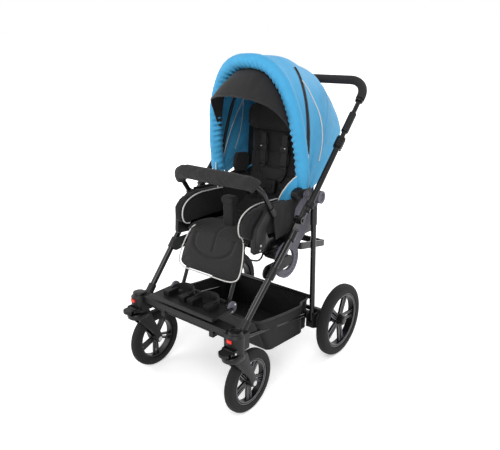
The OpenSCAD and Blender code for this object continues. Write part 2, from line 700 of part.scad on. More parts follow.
module quadrant_outline() {
  translate([tilt_y, tilt_z]) {
    difference() {
      circle(r = ring_r1);
      circle(r = ring_r0);
    }
    circle(r = 18);
    rotate(118) translate([0, -10]) square([ring_r0 + 8, 20]);
  }
  polygon([[tilt_y - 8, tilt_z + 58], [tilt_y + 56, tilt_z + 22], [tilt_y + 76, tilt_z + 45], [66, 535],
    [82, 550], [105, 594], [119, 628], [canopy_y + 18, canopy_z - 14], [canopy_y - 14, canopy_z - 8],
    [16, 640], [4, 590]]);
  translate([canopy_y, canopy_z]) circle(r = 16);
}

// Leg rest: hinge tube, two legs and the rod of the foot platform
leg_foot = [leg_hinge_y - leg_tube_len * cos(leg_slope), leg_hinge_z - leg_tube_len * sin(leg_slope)];
foot_rod_r = 6;
module legrest_frame() color(frame_colour) {
  x_rod(-plate_x1, plate_x1, leg_hinge_y, leg_hinge_z, leg_hinge_r);
  for (s = [-1, 1])
    rod([s * leg_tube_x, leg_hinge_y, leg_hinge_z], [s * leg_tube_x, leg_foot[0], leg_foot[1]], leg_tube_r);
  x_rod(-leg_tube_x - 12, leg_tube_x + 12, leg_foot[0], leg_foot[1], foot_rod_r);
}

// Foot platform: slotted tread, rear barrel and the blocks that hold the heel straps
platform_t = 9;
barrel_half = leg_tube_x - leg_tube_r - 4;
module foot_platform() color(plastic_colour) {
  y1 = leg_foot[0] - 12;
  y0 = y1 - platform_d;
  z0 = leg_foot[1] - platform_t / 2;
  difference() {
    union() {
      block([-platform_w / 2, y0, z0], [platform_w / 2, y1 - 4, z0 + platform_t]);
      block([-barrel_half, y1 - 5, z0], [barrel_half, leg_foot[0], z0 + platform_t]);
      x_rod(-barrel_half, barrel_half, leg_foot[0], leg_foot[1], foot_rod_r + 4);
      for (x = [-96, -20, 20, 96])
        block([x - 13, y0 + 30, z0], [x + 13, y0 + 78, z0 + platform_t + 20]);
    }
    x_rod(-barrel_half - 1, barrel_half + 1, leg_foot[0], leg_foot[1], foot_rod_r + run_gap);
    for (side = [-1, 1], i = [0:5])
      translate([side * 58 - 20.5 + 8 * i, y0, z0])
        block([-2, 36, -1], [2, 76, platform_t + 1]);
  }
}

// Padded form lying on local z = 0: crowned, with drawn-in sides and sewn channels.
// w runs along x and d along y, corner rounds the outline, bend lifts the sides.
no_channel = function(u, v) 0;
module pad(w, d, edge, up, nu, nv, corner = 0.5, draw = 0.03, taper = 0, down = 0, bend = 0,
    channel = no_channel) {
  us = [for (i = [0:nu]) -1 + 2 * i / nu];
  vs = [for (j = [0:nv]) -1 + 2 * j / nv];
  px = function(u, v) w / 2 * u * sqrt(1 - corner * v * v / 2) * (1 - draw * (1 - v * v) * u * u)
    * (1 + taper * v);
  py = function(u, v) d / 2 * v * sqrt(1 - corner * u * u / 2) * (1 - draw * (1 - u * u) * v * v);
  swell = function(u, v) sqrt(max(0, (1 - pow(u, 4)) * (1 - pow(v, 4))));
  top = [for (u = us, v = vs)
    [px(u, v), py(u, v), edge + up * swell(u, v) - channel(u, v) + bend * u * u]];
  low = [for (u = us, v = vs) [px(u, v), py(u, v), -down * swell(u, v) + bend * u * u]];
  count = (nu + 1) * (nv + 1);
  at = function(i, j) i * (nv + 1) + j;
  top_faces = [for (i = [0:nu - 1], j = [0:nv - 1], k = [0, 1])
    k == 0 ? [at(i, j), at(i, j + 1), at(i + 1, j + 1)] : [at(i, j), at(i + 1, j + 1), at(i + 1, j)]];
  low_faces = [for (f = top_faces) [f[2] + count, f[1] + count, f[0] + count]];
  rim = concat([for (i = [0:nu - 1]) [at(i, 0), at(i + 1, 0)]],
    [for (j = [0:nv - 1]) [at(nu, j), at(nu, j + 1)]],
    [for (i = [0:nu - 1]) [at(nu - i, nv), at(nu - i - 1, nv)]],
    [for (j = [0:nv - 1]) [at(0, nv - j), at(0, nv - j - 1)]]);
  rim_faces = [for (e = rim, k = [0, 1])
    k == 0 ? [e[0], e[1], e[1] + count] : [e[0], e[1] + count, e[0] + count]];
  polyhedron(concat(top, low), concat(top_faces, low_faces, rim_faces));
}

// Sewn groove of a given depth and width where f is zero
function groove(f, depth, width) = depth * exp(-pow(f / width, 2));

// Seat cushion on the pan, with a sewn line across it
cushion_y = 6;
cushion_edge = 18;
module seat_cushion() color(cloth_colour) translate([0, cushion_y, seat_z + seat_gap])
  pad(seat_w - 6, seat_depth, cushion_edge, cushion_t - cushion_edge, 16, 14, corner = 0.3,
    channel = function(u, v) groove(v - 0.45, 4, 0.09) * (1 - pow(u, 4)));

// Two thigh pads against the side plates
thigh_edge = 30;
thigh_up = 22;
thigh_len = 200;
thigh_h = 108;
thigh_y = -84;
thigh_lift = 65;
thigh_lean = 8;
module thigh_pads() color(cloth_colour)
  for (s = [-1, 1]) on_side(s)
    translate([plate_x0 - seat_gap, thigh_y, seat_z + cushion_t + thigh_lift])
      rotate([-thigh_lean, 0, 0]) rotate([90, 0, -90])
        pad(thigh_len, thigh_h, thigh_edge, thigh_up, 12, 10, corner = 0.85);

// Pommel that stands on the front of the cushion
pommel_w = 66;
pommel_h = 86;
pommel_y = -66;
pommel_sink = 1.5;
pommel_edge = 24;
pommel_up = 8;
module pommel() color(cloth_colour)
  translate([0, pommel_y, seat_z + cushion_t + pommel_h / 2 - pommel_sink]) rotate([90, 0, 0])
    pad(pommel_w, pommel_h, pommel_edge, pommel_up, 10, 10, corner = 0.6, down = pommel_up / 2);

// Cloth panels that close the sides of the seat
module side_panels() color(cloth_colour)
  for (s = [-1, 1]) on_side(s) upright(plate_x1 + seat_gap, plate_x1 + seat_gap + 5)
    polygon([[-62, seat_z + 14], [28, seat_z + 16], [49, seat_z + 147], [-80, seat_z + 152]]);

// Frame of the backrest: Z runs up its slope from the hinge, the child sits on the -Y side
module back_frame() translate([0, back_hinge_y, back_hinge_z]) rotate([-back_lean, 0, 0]) children();
cushion_back = back_t / 2;

module backrest_shell() color(plastic_colour) back_frame() {
  rotate([0, 90, 0]) cylinder(r = back_hinge_r, h = 2 * plate_x1, center = true);
  translate([0, cushion_back + seat_gap + shell_t, 0]) rotate([90, 0, 0]) linear_extrude(shell_t)
    shell_outline();
  for (x = [-120, 0, 120])
    block([x - 15, 0, -back_hinge_r + 1], [x + 15, cushion_back + seat_gap + shell_t, back_foot - 1]);
}

// Outline of the backrest's shell, with its upper corners cut to clear the canopy
shell_half = back_w / 2 + 10;
shell_cut = [54, 96];
module shell_outline() {
  top = back_h - 14;
  polygon([[-shell_half, 8], [shell_half, 8], [shell_half, top - shell_cut[1]],
    [shell_half - shell_cut[0], top], [shell_cut[0] - shell_half, top], [-shell_half, top - shell_cut[1]]]);
}

module back_cushion() color(cloth_colour) back_frame()
  translate([0, cushion_back, back_foot + (back_h - back_foot) / 2]) rotate([90, 0, 0])
    pad(back_w, back_h - back_foot, back_t / 2, back_t / 2, 14, 18, corner = 0.5,
      channel = function(u, v) groove(v - 0.3, 4, 0.06) * (1 - pow(u, 4)));

// Headrest with side wings, sliding up the backrest
headrest_w = 250;
headrest_h = 128;
module headrest() color(cloth_colour) back_frame()
  translate([0, -cushion_back - seat_gap, back_h - headrest_h / 2 + 2]) rotate([90, 0, 0])
    pad(headrest_w, headrest_h, 9, 11, 16, 8, corner = 0.75, bend = 34);

// Trunk supports: two pads on arms that come round the cushion's edges
trunk_z = 178;
module trunk_pads() color(cloth_colour)
  for (s = [-1, 1]) on_side(s) back_frame() {
    translate([back_w / 2 + 1.7, -46, trunk_z]) rotate([90, 0, -90])
      pad(60, 88, 11, 9, 8, 8, corner = 0.7);
    block([back_w / 2 + 2, -64, trunk_z - 12], [back_w / 2 + 7, cushion_back + seat_gap, trunk_z + 12]);
  }

// Harness: shoulder pads, chest pad and the straps down to the buckle
harness_t = 8;
chest_w = 132;
chest_h = 66;
chest_z = 146;
chest_shape = [[-0.94, 1], [-0.45, 0.82], [0.45, 0.82], [0.94, 1],
  [1, 0.45], [0.55, 0], [-0.55, 0], [-1, 0.45]];
shoulder_x = 51;
shoulder_w = 34;
shoulder_clear = 26;
shoulder_h = back_h - headrest_h - chest_z - chest_h / 2 - shoulder_clear;
strap_w = 32;
waist_x = 126;
waist_w = 24;
waist_drop = 36;
module harness() color(cloth_colour) back_frame()
  translate([0, -cushion_back - seat_gap, 0]) rotate([90, 0, 0]) linear_extrude(harness_t)
    translate([0, chest_z]) {
      polygon([for (p = chest_shape) [p[0] * chest_w / 2, p[1] * chest_h]]);
      for (side = [-1, 1]) {
        band([side * shoulder_w, chest_h / 2], [side * shoulder_x, chest_h / 2 + shoulder_h], shoulder_w);
        band([side * strap_w / 4, -strap_w], [side * waist_x, -strap_w - waist_drop], waist_w);
      }
      band([0, strap_w / 4], [0, -1.5 * strap_w], strap_w);
    }

// Flat strap of a given width between two points
module band(p, q, w) {
  across = w / 2 * [q[1] - p[1], p[0] - q[0]] / norm(q - p);
  polygon([p - across, p + across, q + across, q - across]);
}

// Buckle of the harness and its release button
buckle_y = -cushion_back - seat_gap - harness_t - seat_gap;
buckle_t = 15;
buckle_z = 104;
push_travel = 3;
module buckle() color(plastic_colour) back_frame() difference() {
  translate([0, buckle_y, buckle_z]) rotate([90, 0, 0]) linear_extrude(buckle_t)
    polygon([[-24, 20], [24, 20], [20, -26], [12, -32], [-12, -32], [-20, -26]]);
  translate([0, buckle_y - buckle_t - 1, buckle_z - 4]) rotate([-90, 0, 0])
    cylinder(r = 9 + seat_gap, h = 12 + push_travel);
}

module buckle_button() color(plastic_colour) back_frame()
  translate([0, buckle_y - buckle_t - 2, buckle_z - 4]) rotate([-90, 0, 0]) cylinder(r = 9, h = 10);

// Frame of the leg rest: Y runs up the legs to the hinge, Z leaves them to the front
module leg_frame() translate([0, leg_hinge_y, leg_hinge_z]) rotate([leg_slope, 0, 0]) children();
calf_gap = 13;
module calf_pad() color(cloth_colour) leg_frame()
  translate([0, -calf_gap - calf_len / 2, leg_tube_r + seat_gap])
    pad(calf_w, calf_len, 10, 12, 18, 16, corner = 0.55, taper = -0.08,
      channel = function(u, v) calf_channel(u, v));

// U-shaped sewn channel and the short crease in the middle of the calf pad
function calf_channel(u, v) =
  let (arch = sqrt(pow(u / 0.55, 2) + pow(min(v - 0.35, 0) / 0.75, 2)) - 1,
       crease = v > -0.3 ? u : 1)
  groove(arch, 5, 0.16) + groove(crease, 4, 0.07);

// Canopy outline: half width and radius of a rounded arch, t from -90 to 90 degrees
function arch_x(t, w) = sign(t) * w * pow(sin(abs(t)), 2 / canopy_n);
function arch_r(t, r) = r * pow(cos(t), 2 / canopy_n);
arch_end = 84;
arch_step = 6;

// Cloth of the canopy turned about its hinge between two angles above the horizontal
module canopy_shell(e0, e1, r, w) {
  ts = [for (t = [-arch_end:arch_step:arch_end]) t];
  outer = [for (t = ts) [arch_r(t, r), arch_x(t, w)]];
  inner = [for (t = ts) [arch_r(-t, r - canopy_t), arch_x(-t, w - canopy_t)]];
  translate([0, canopy_y, canopy_z]) rotate([0, 90, 0]) rotate([0, 0, 90 + e0])
    rotate_extrude(angle = e1 - e0) polygon(concat(outer, inner));
}

// Plane of the front roll: Y runs up from the hinge, Z leaves it to the front
module roll_plane(e = roll_e) translate([0, canopy_y, canopy_z]) rotate([e, 0, 0]) children();

// Sizes of the roll and of the arms that carry the canopy on its pins
roll_r = roll_d / 2;
roll_path_r = canopy_r - 17;
roll_path_w = canopy_half_w - 4;
roll_t_end = 89;
roll_foot = arch_r(roll_t_end, roll_path_r);
nest = 8;
arm_t = 6;
arm_half = 7;
disc_r = 13;
hoop_arm_x0 = quad_x0 - seat_gap - arm_t;
middle_arm_x0 = hoop_arm_x0 - seat_gap - arm_t;
canopy_fold = 30;
hoop_back_e = 56;
middle_front_e = 68;
middle_back_e = 42;

// Cloth of the canopy's front, which lies against the roll
module canopy_hoop() color(blue_colour) difference() {
  canopy_shell(hoop_back_e, roll_e, canopy_r, canopy_half_w);
  roll_plane() roll_body(roll_r + seat_gap);
  roll_plane() block([-canopy_r, 0, 0], [canopy_r, 2 * canopy_r, canopy_r]);
}

// Padded roll along the front edge of the canopy, with its arms on the canopy's pins
module canopy_roll() color(blue_colour) {
  roll_plane() roll_body(roll_r);
  for (s = [-1, 1]) on_side(s) difference() {
    union() {
      x_rod(hoop_arm_x0, hoop_arm_x0 + arm_t, canopy_y, canopy_z, disc_r);
      roll_plane()
        block([hoop_arm_x0, canopy_pin_r + 2, -arm_half], [hoop_arm_x0 + arm_t, roll_foot + 6, arm_half]);
    }
    x_rod(hoop_arm_x0 - 1, hoop_arm_x0 + arm_t + 1, canopy_y, canopy_z, canopy_pin_r + run_gap);
  }
}

// Round roll of a given radius along the canopy's arch, in its own plane
module roll_body(r) {
  sides = 12;
  ts = [for (i = [0:42]) roll_t_end * (i / 21 - 1)];
  mid = [for (t = ts) [arch_x(t, roll_path_w), arch_r(t, roll_path_r)]];
  n = len(mid);
  tangent = function(i) let (v = mid[min(i + 1, n - 1)] - mid[max(i - 1, 0)]) v / norm(v);
  points = [for (i = [0:n - 1], k = [0:sides - 1])
    let (a = 360 * k / sides, v = tangent(i), out = r * cos(a))
    [mid[i][0] - v[1] * out, mid[i][1] + v[0] * out, r * sin(a)]];
  quads = [for (i = [0:n - 2], k = [0:sides - 1])
    [i * sides + k, i * sides + (k + 1) % sides, (i + 1) * sides + (k + 1) % sides, (i + 1) * sides + k]];
  sides_faces = [for (q = quads, k = [0, 1]) k == 0 ? [q[0], q[2], q[1]] : [q[0], q[3], q[2]]];
  first = [for (k = [1:sides - 2]) [0, k, k + 1]];
  last = [for (k = [1:sides - 2]) [(n - 1) * sides, (n - 1) * sides + k + 1, (n - 1) * sides + k]];
  polyhedron(points, concat(sides_faces, first, last));
}

// Black sun visor that hangs inside the roll
visor_t = 4;
visor_drop = 276;
module canopy_visor() color(cloth_colour) roll_plane() {
  r = roll_path_r - roll_r - seat_gap;
  w = roll_path_w - roll_r - seat_gap;
  top = [for (t = [-57:3:57]) [arch_x(t, w), arch_r(t, r)]];
  end_x = arch_x(57, w);
  end_r = arch_r(57, r);
  brim = [for (i = [9:-1:-9]) [end_x * i / 10, visor_drop - (visor_drop - end_r) * pow(i / 10, 2)]];
  translate([0, 0, -visor_t / 2]) linear_extrude(visor_t) polygon(concat(top, brim));
}

// Fixed middle of the canopy: its struts stand on the tilt quadrants, clear of the folded roll
strut = [[82, 628], [104, 624], [128, 690], [168, 772], [150, 800], [116, 720], [84, 652]];
strut_boss = [96, 640];
strut_boss_r = 9;
module canopy_middle() color(blue_colour) difference() {
  union() {
    canopy_shell(middle_back_e, middle_front_e, canopy_r - nest, canopy_half_w - nest);
    for (s = [-1, 1]) on_side(s) {
      upright(middle_arm_x0, middle_arm_x0 + arm_t) polygon(strut);
      x_rod(middle_arm_x0 + 1, quad_x0 - seat_gap / 3, strut_boss[0], strut_boss[1], strut_boss_r);
    }
  }
  roll_plane(roll_e - canopy_fold)
    block([-canopy_r, roll_foot - 2, -roll_r - seat_gap], [canopy_r, 2 * canopy_r, canopy_r]);
}

// Cloth curtain from the back of the canopy down to the backrest
curtain_z = 200;
curtain_in = 15;
curtain_belly = 10;
curtain_end = 78;
module canopy_back() color(blue_colour) {
  r = canopy_r - nest - curtain_in;
  w = canopy_half_w - nest - curtain_in;
  ts = [for (t = [-curtain_end:arch_step:curtain_end]) t];
  n = len(ts);
  e = middle_back_e + 0.5;
  foot_y = back_hinge_y + cushion_back + shell_t + 2 * seat_gap + curtain_z * tan(back_lean) + 1;
  top = function(t, inset) [arch_x(t, w - inset), canopy_y + arch_r(t, r - inset) * cos(e),
    canopy_z + arch_r(t, r - inset) * sin(e)];
  foot = function(t, back) [t / curtain_end * (shell_half + 11), foot_y + back, back_hinge_z + curtain_z];
  belly = [0, curtain_belly, 0];
  rings = [[for (t = ts) top(t, 0)], [for (t = ts) (top(t, 0) + foot(t, canopy_t)) / 2 + belly],
    [for (t = ts) foot(t, canopy_t)], [for (t = ts) foot(t, 0)],
    [for (t = ts) (top(t, canopy_t) + foot(t, 0)) / 2 + belly], [for (t = ts) top(t, canopy_t)]];
  m = len(rings);
  points = [for (ring = rings, p = ring) p];
  skin = [for (j = [0:m - 1], i = [0:n - 2], k = [0, 1])
    let (a = j * n + i, b = ((j + 1) % m) * n + i) k == 0 ? [a, b, b + 1] : [a, b + 1, a + 1]];
  ends = [for (i = [0, n - 1], q = [[0, 1, 4, 5], [1, 2, 3, 4]], k = [0, 1])
    let (c = [for (j = q) j * n + i], f = k == 0 ? [c[0], c[1], c[2]] : [c[0], c[2], c[3]])
    i == 0 ? [f[2], f[1], f[0]] : f];
  polyhedron(points, concat(skin, ends));
}

front_tube(1);  // front_tube_left
front_tube(-1);  // front_tube_right
caster_housing(1);  // caster_housing_left
caster_housing(-1);  // caster_housing_right
cross_members();
basket_rails();
axle_brackets();
rear_cross_tube();
seat_brackets();
basket();
rear_leg(1);  // rear_leg_left
rear_leg(-1);  // rear_leg_right
leg_knuckles();
handle_tube(1);  // handle_tube_left
handle_tube(-1);  // handle_tube_right
fold_sleeve(1);  // fold_sleeve_left
fold_sleeve(-1);  // fold_sleeve_right
push_bar();
handle_grip();
caster_fork(1);  // caster_fork_left
caster_fork(-1);  // caster_fork_right
front_axle(1);  // front_axle_left
front_axle(-1);  // front_axle_right
front_rim(1);  // front_rim_left
front_rim(-1);  // front_rim_right
front_tyre(1);  // front_tyre_left
front_tyre(-1);  // front_tyre_right
caster_lever(1);  // caster_lever_left
caster_lever(-1);  // caster_lever_right
caster_button(1);  // caster_button_left
caster_button(-1);  // caster_button_right
rear_rim(1);  // rear_rim_left
rear_rim(-1);  // rear_rim_right
rear_tyre(1);  // rear_tyre_left
rear_tyre(-1);  // rear_tyre_right
brake_bar();
seat_frame();
tilt_quadrant(1);  // tilt_quadrant_left
tilt_quadrant(-1);  // tilt_quadrant_right
seat_cushion();
thigh_pads();
pommel();
side_panels();
safety_bar();
bar_cover();
backrest_shell();
back_cushion();
headrest();
trunk_pads();
harness();
buckle();
buckle_button();
legrest_frame();
calf_pad();
foot_platform();
canopy_hoop();
canopy_roll();
canopy_visor();
canopy_middle();
canopy_back();
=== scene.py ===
"""Looks of a special needs buggy, modelled round its packed construction.

Lengths are metres. +Z is up, the front is -Y and the child's left is +X.
"""
import json
import math

import bpy
from bpy.props import FloatProperty, IntProperty, PointerProperty, StringProperty
from mathutils import Matrix, Vector, noise


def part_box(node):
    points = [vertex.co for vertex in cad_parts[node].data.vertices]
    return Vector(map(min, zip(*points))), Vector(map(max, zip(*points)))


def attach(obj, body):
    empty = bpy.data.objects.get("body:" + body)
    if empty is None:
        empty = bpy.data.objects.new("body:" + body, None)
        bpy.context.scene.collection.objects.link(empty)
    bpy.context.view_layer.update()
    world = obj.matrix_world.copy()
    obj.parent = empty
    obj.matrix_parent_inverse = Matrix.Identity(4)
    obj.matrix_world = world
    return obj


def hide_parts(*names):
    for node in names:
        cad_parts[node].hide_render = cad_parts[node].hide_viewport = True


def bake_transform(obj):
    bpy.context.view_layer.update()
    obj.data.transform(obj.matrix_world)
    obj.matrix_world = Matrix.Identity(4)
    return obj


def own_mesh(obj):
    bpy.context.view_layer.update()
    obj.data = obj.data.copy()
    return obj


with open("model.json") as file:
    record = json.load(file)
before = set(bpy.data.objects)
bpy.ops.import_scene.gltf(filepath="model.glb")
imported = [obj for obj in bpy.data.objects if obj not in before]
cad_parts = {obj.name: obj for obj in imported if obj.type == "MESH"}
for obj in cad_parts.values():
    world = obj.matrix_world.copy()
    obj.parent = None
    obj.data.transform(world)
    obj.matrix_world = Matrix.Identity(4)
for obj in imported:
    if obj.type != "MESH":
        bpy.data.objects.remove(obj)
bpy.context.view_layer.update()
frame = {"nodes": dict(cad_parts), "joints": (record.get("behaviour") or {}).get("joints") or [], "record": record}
NODES = frame["nodes"]
JOINTS = {row["name"]: row for row in frame["joints"]}
SLOTS = {row["node"]: row["material_slot"] for row in frame["record"]["subparts"]}

bl_info = {
    "name": "Special needs buggy",
    "version": (1, 0, 0),
    "blender": (4, 5, 0),
    "location": "View3D > Sidebar > Buggy",
    "description": "Models the cloth, pads, finishes and small parts of a special needs buggy",
    "category": "Object",
}


class BuggyColours(bpy.types.PropertyGroup):
    """Colours of the buggy, as sRGB hex codes"""

    blue: StringProperty(name="Canopy cloth", description="Blue polyester", default="#409CCB")
    black: StringProperty(name="Seat cloth", description="Black polyester", default="#1E1C1C")
    piping: StringProperty(name="Piping", description="Silver piping", default="#C4C2BE")
    tube: StringProperty(name="Tubes", description="Black powder coat", default="#0D0D0F")
    plastic: StringProperty(name="Mouldings", description="Black plastic", default="#101012")
    grey: StringProperty(name="Quadrants", description="Grey plastic", default="#5C5A64")
    tyre: StringProperty(name="Tyres", description="Tyre rubber", default="#151415")
    red: StringProperty(name="Buttons", description="Red plastic", default="#F0352A")


class BuggySizes(bpy.types.PropertyGroup):
    """Sizes of what is modelled on the construction"""

    piping: FloatProperty(name="Piping", description="Diameter of the sewn piping",
                          default=0.005, min=0.002, max=0.01, unit="LENGTH")
    voxel: FloatProperty(name="Pad mesh", description="Size of a face of a stuffed pad before smoothing",
                         default=0.006, min=0.004, max=0.01, unit="LENGTH")
    gathers: IntProperty(name="Gathers", description="Gathers along the canopy's front roll",
                         default=48, min=20, max=120)
    tread: IntProperty(name="Tread", description="Grooves round a tyre", default=60, min=24, max=120)


def colours():
    return bpy.context.scene.buggy_colours


def sizes():
    return bpy.context.scene.buggy_sizes


# Node materials

def linear(code):
    """Linear colour of an sRGB hex code"""
    parts = [int(code[i:i + 2], 16) / 255 for i in (1, 3, 5)]
    return [c / 12.92 if c <= 0.04045 else ((c + 0.055) / 1.055) ** 2.4 for c in parts] + [1.0]


def shade(code, factor):
    """Linear colour of a hex code, made lighter or darker by a factor"""
    return [min(1.0, c * factor) for c in linear(code)[:3]] + [1.0]


def add(tree, kind, links=None, inputs=None, **settings):
    """Adds a node with its settings, its input values and the sockets that feed it"""
    made = tree.nodes.new(kind)
    for key, value in settings.items():
        setattr(made, key, value)
    for key, value in (inputs or {}).items():
        made.inputs[key].default_value = value
    for key, socket in (links or {}).items():
        tree.links.new(socket, made.inputs[key])
    return made


MATERIALS = {}


def material(maker):
    """Makes each material once, the first time that a piece asks for it"""
    def get():
        if maker.__name__ not in MATERIALS:
            made = bpy.data.materials.new(maker.__name__)
            made.use_nodes = True
            made.node_tree.nodes.clear()
            maker(made.node_tree)
            MATERIALS[maker.__name__] = made
        return MATERIALS[maker.__name__]
    return get


def per_metre(size_mm):
    """Scale of a pattern whose features repeat at a size in millimetres"""
    return 1000.0 / size_mm


def woven(tree, code, thread_mm, rough, sheen, dark=0.72, light=1.2, crease=0.35):
    """Plain-woven cloth: threads in three directions, cloudy wear and soft creases"""
    place = add(tree, "ShaderNodeTexCoord").outputs["Object"]
    cloud = add(tree, "ShaderNodeTexNoise", {"Vector": place},
                {"Scale": per_metre(45), "Detail": 3.0, "Roughness": 0.55})
    tint = add(tree, "ShaderNodeMix", {"Factor": cloud.outputs["Fac"]}, data_type="RGBA")
    tint.inputs["A"].default_value = shade(code, dark)
    tint.inputs["B"].default_value = shade(code, light)
    warp = add(tree, "ShaderNodeTexWave", {"Vector": place},
               {"Scale": per_metre(thread_mm) / 20, "Distortion": 0.6, "Detail": 1.0},
               bands_direction="DIAGONAL")
    grain = add(tree, "ShaderNodeTexVoronoi", {"Vector": place}, {"Scale": per_metre(thread_mm)})
    weave = add(tree, "ShaderNodeMath", {0: warp.outputs["Fac"], 1: grain.outputs["Distance"]},
                operation="ADD")
    fold = add(tree, "ShaderNodeTexNoise", {"Vector": place},
               {"Scale": per_metre(70), "Detail": 2.0, "Distortion": 0.8})
    soft = add(tree, "ShaderNodeBump", {"Height": fold.outputs["Fac"]},
               {"Strength": crease, "Distance": 0.006})
    fine = add(tree, "ShaderNodeBump",
               {"Height": weave.outputs["Value"], "Normal": soft.outputs["Normal"]},
               {"Strength": 0.22, "Distance": 0.0008})
    skin = add(tree, "ShaderNodeBsdfPrincipled",
               {"Base Color": tint.outputs["Result"], "Normal": fine.outputs["Normal"]},
               {"Roughness": rough, "Sheen Weight": sheen, "Sheen Roughness": 0.45,
                "Specular IOR Level": 0.3})
    add(tree, "ShaderNodeOutputMaterial", {"Surface": skin.outputs["BSDF"]})


def moulded(tree, code, grain_mm, rough_low, rough_high, relief, coat=0.0, shine=0.26):
    """Moulded or coated surface: fine grain, cloudy gloss and a little colour drift"""
    place = add(tree, "ShaderNodeTexCoord").outputs["Object"]
    cloud = add(tree, "ShaderNodeTexNoise", {"Vector": place},
                {"Scale": per_metre(30), "Detail": 4.0, "Roughness": 0.6})
    tint = add(tree, "ShaderNodeMix", {"Factor": cloud.outputs["Fac"]}, data_type="RGBA")
    tint.inputs["A"].default_value = shade(code, 0.85)
    tint.inputs["B"].default_value = shade(code, 1.18)
    gloss = add(tree, "ShaderNodeMapRange", {"Value": cloud.outputs["Fac"]},
                {"To Min": rough_low, "To Max": rough_high})
    grain = add(tree, "ShaderNodeTexNoise", {"Vector": place},
                {"Scale": per_metre(grain_mm), "Detail": 2.0})
    bump = add(tree, "ShaderNodeBump", {"Height": grain.outputs["Fac"]},
               {"Strength": relief, "Distance": 0.0006})
    skin = add(tree, "ShaderNodeBsdfPrincipled",
               {"Base Color": tint.outputs["Result"], "Roughness": gloss.outputs["Result"],
                "Normal": bump.outputs["Normal"]},
               {"Coat Weight": coat, "Coat Roughness": 0.12, "Specular IOR Level": shine})
    add(tree, "ShaderNodeOutputMaterial", {"Surface": skin.outputs["BSDF"]})


@material
def woven_blue_polyester(tree):
    # Canopy cloth: tight plain weave with a slight sheen; the threads are drawn coarse enough to show
    woven(tree, colours().blue, thread_mm=1.6, rough=0.62, sheen=0.12, dark=0.86, light=1.1)


@material
def woven_black_polyester(tree):
    # Seat cloth: dull plain weave that lifts to warm grey where the light grazes it
    woven(tree, colours().black, thread_mm=1.8, rough=0.82, sheen=0.08)


@material
def black_spacer_mesh(tree):
    # Knitted spacer cloth on the thigh pads: darker and duller than the woven cloth
    woven(tree, "#0E0E10", thread_mm=2.6, rough=0.9, sheen=0.06, crease=0.2)


@material
def basket_nylon(tree):
    # Coated nylon of the basket: black, with a slight gloss along its creases
    woven(tree, "#070708", thread_mm=1.8, rough=0.7, sheen=0.0, crease=0.5)


@material
def silver_reflective_piping(tree):
    # Reflective tape sewn round a cord: pale, a little glossy, slightly ribbed
    moulded(tree, colours().piping, grain_mm=2.0, rough_low=0.35, rough_high=0.5, relief=0.3)


@material
def polyester_webbing(tree):
    # Harness strap: tight ribbed weave, satin
    woven(tree, "#151415", thread_mm=2.2, rough=0.6, sheen=0.06, crease=0.1)


@material
def powder_coated_tube(tree):
    # Aluminium tube in gloss black powder coat with the faint orange peel of the coat
    moulded(tree, colours().tube, grain_mm=2.4, rough_low=0.16, rough_high=0.26, relief=0.12, coat=0.12)


@material
def moulded_polypropylene(tree):
    # Black polypropylene mouldings with a fine spark grain
    moulded(tree, colours().plastic, grain_mm=1.2, rough_low=0.4, rough_high=0.56, relief=0.3)


@material
def glass_filled_nylon(tree):
    # Grey structural nylon: dull, with the slight streaks of its fibres
    moulded(tree, colours().grey, grain_mm=1.6, rough_low=0.46, rough_high=0.62, relief=0.3)


@material
def satin_black_nylon(tree):
    # Wheel mouldings: smoother and a little glossier than the other plastic
    moulded(tree, "#0C0C0E", grain_mm=1.4, rough_low=0.24, rough_high=0.36, relief=0.15)


@material
def painted_spoke_highlight(tree):
    # Pale grey painted highlight along a spoke's edge and round the rim, where the glossy black plastic catches
    # the light
    moulded(tree, "#77757A", grain_mm=1.5, rough_low=0.3, rough_high=0.42, relief=0.15, shine=0.5)


@material
def red_abs(tree):
    # Red push button, smooth moulded
    moulded(tree, colours().red, grain_mm=1.5, rough_low=0.28, rough_high=0.36, relief=0.08)


@material
def tyre_rubber(tree):
    # Grey-black foam-filled tyre, matt, with dusty tone changes
    moulded(tree, colours().tyre, grain_mm=1.6, rough_low=0.68, rough_high=0.85, relief=0.4)


@material
def eva_foam(tree):
    # Closed-cell foam of the grip: matt, with fine open pores
    moulded(tree, "#262425", grain_mm=1.1, rough_low=0.8, rough_high=0.95, relief=0.6)


@material
def zinc_plated_steel(tree):
    # Bolts and the zip pull: pale zinc with a soft brushed gloss
    place = add(tree, "ShaderNodeTexCoord").outputs["Object"]
    cloud = add(tree, "ShaderNodeTexNoise", {"Vector": place}, {"Scale": per_metre(4), "Detail": 3.0})
    gloss = add(tree, "ShaderNodeMapRange", {"Value": cloud.outputs["Fac"]},
                {"To Min": 0.22, "To Max": 0.42})
    skin = add(tree, "ShaderNodeBsdfPrincipled", {"Roughness": gloss.outputs["Result"]},
               {"Base Color": linear("#C4C4C8"), "Metallic": 1.0})
    add(tree, "ShaderNodeOutputMaterial", {"Surface": skin.outputs["BSDF"]})


SLOT_FINISH = {
    "black_tube": powder_coated_tube, "black_plastic": moulded_polypropylene,
    "wheel_plastic": satin_black_nylon, "grey_plastic": glass_filled_nylon, "red_plastic": red_abs,
    "grip_foam": eva_foam, "tyre_rubber": tyre_rubber, "axle_steel": zinc_plated_steel,
    "black_cloth": woven_black_polyester, "blue_cloth": woven_blue_polyester,
}


# Modelling helpers

EDGE_ANGLE = 40
SOFT_ANGLE = 80


def deselect():
    if bpy.context.mode != "OBJECT":
        bpy.ops.object.mode_set(mode="OBJECT")
    bpy.ops.object.select_all(action="DESELECT")


def activate(obj):
    deselect()
    obj.select_set(True)
    bpy.context.view_layer.objects.active = obj
    return obj


def fresh(name):
    """The primitive or copy that was just added, under its own name"""
    obj = bpy.context.object
    obj.name = name
    obj.data.name = name
    return obj


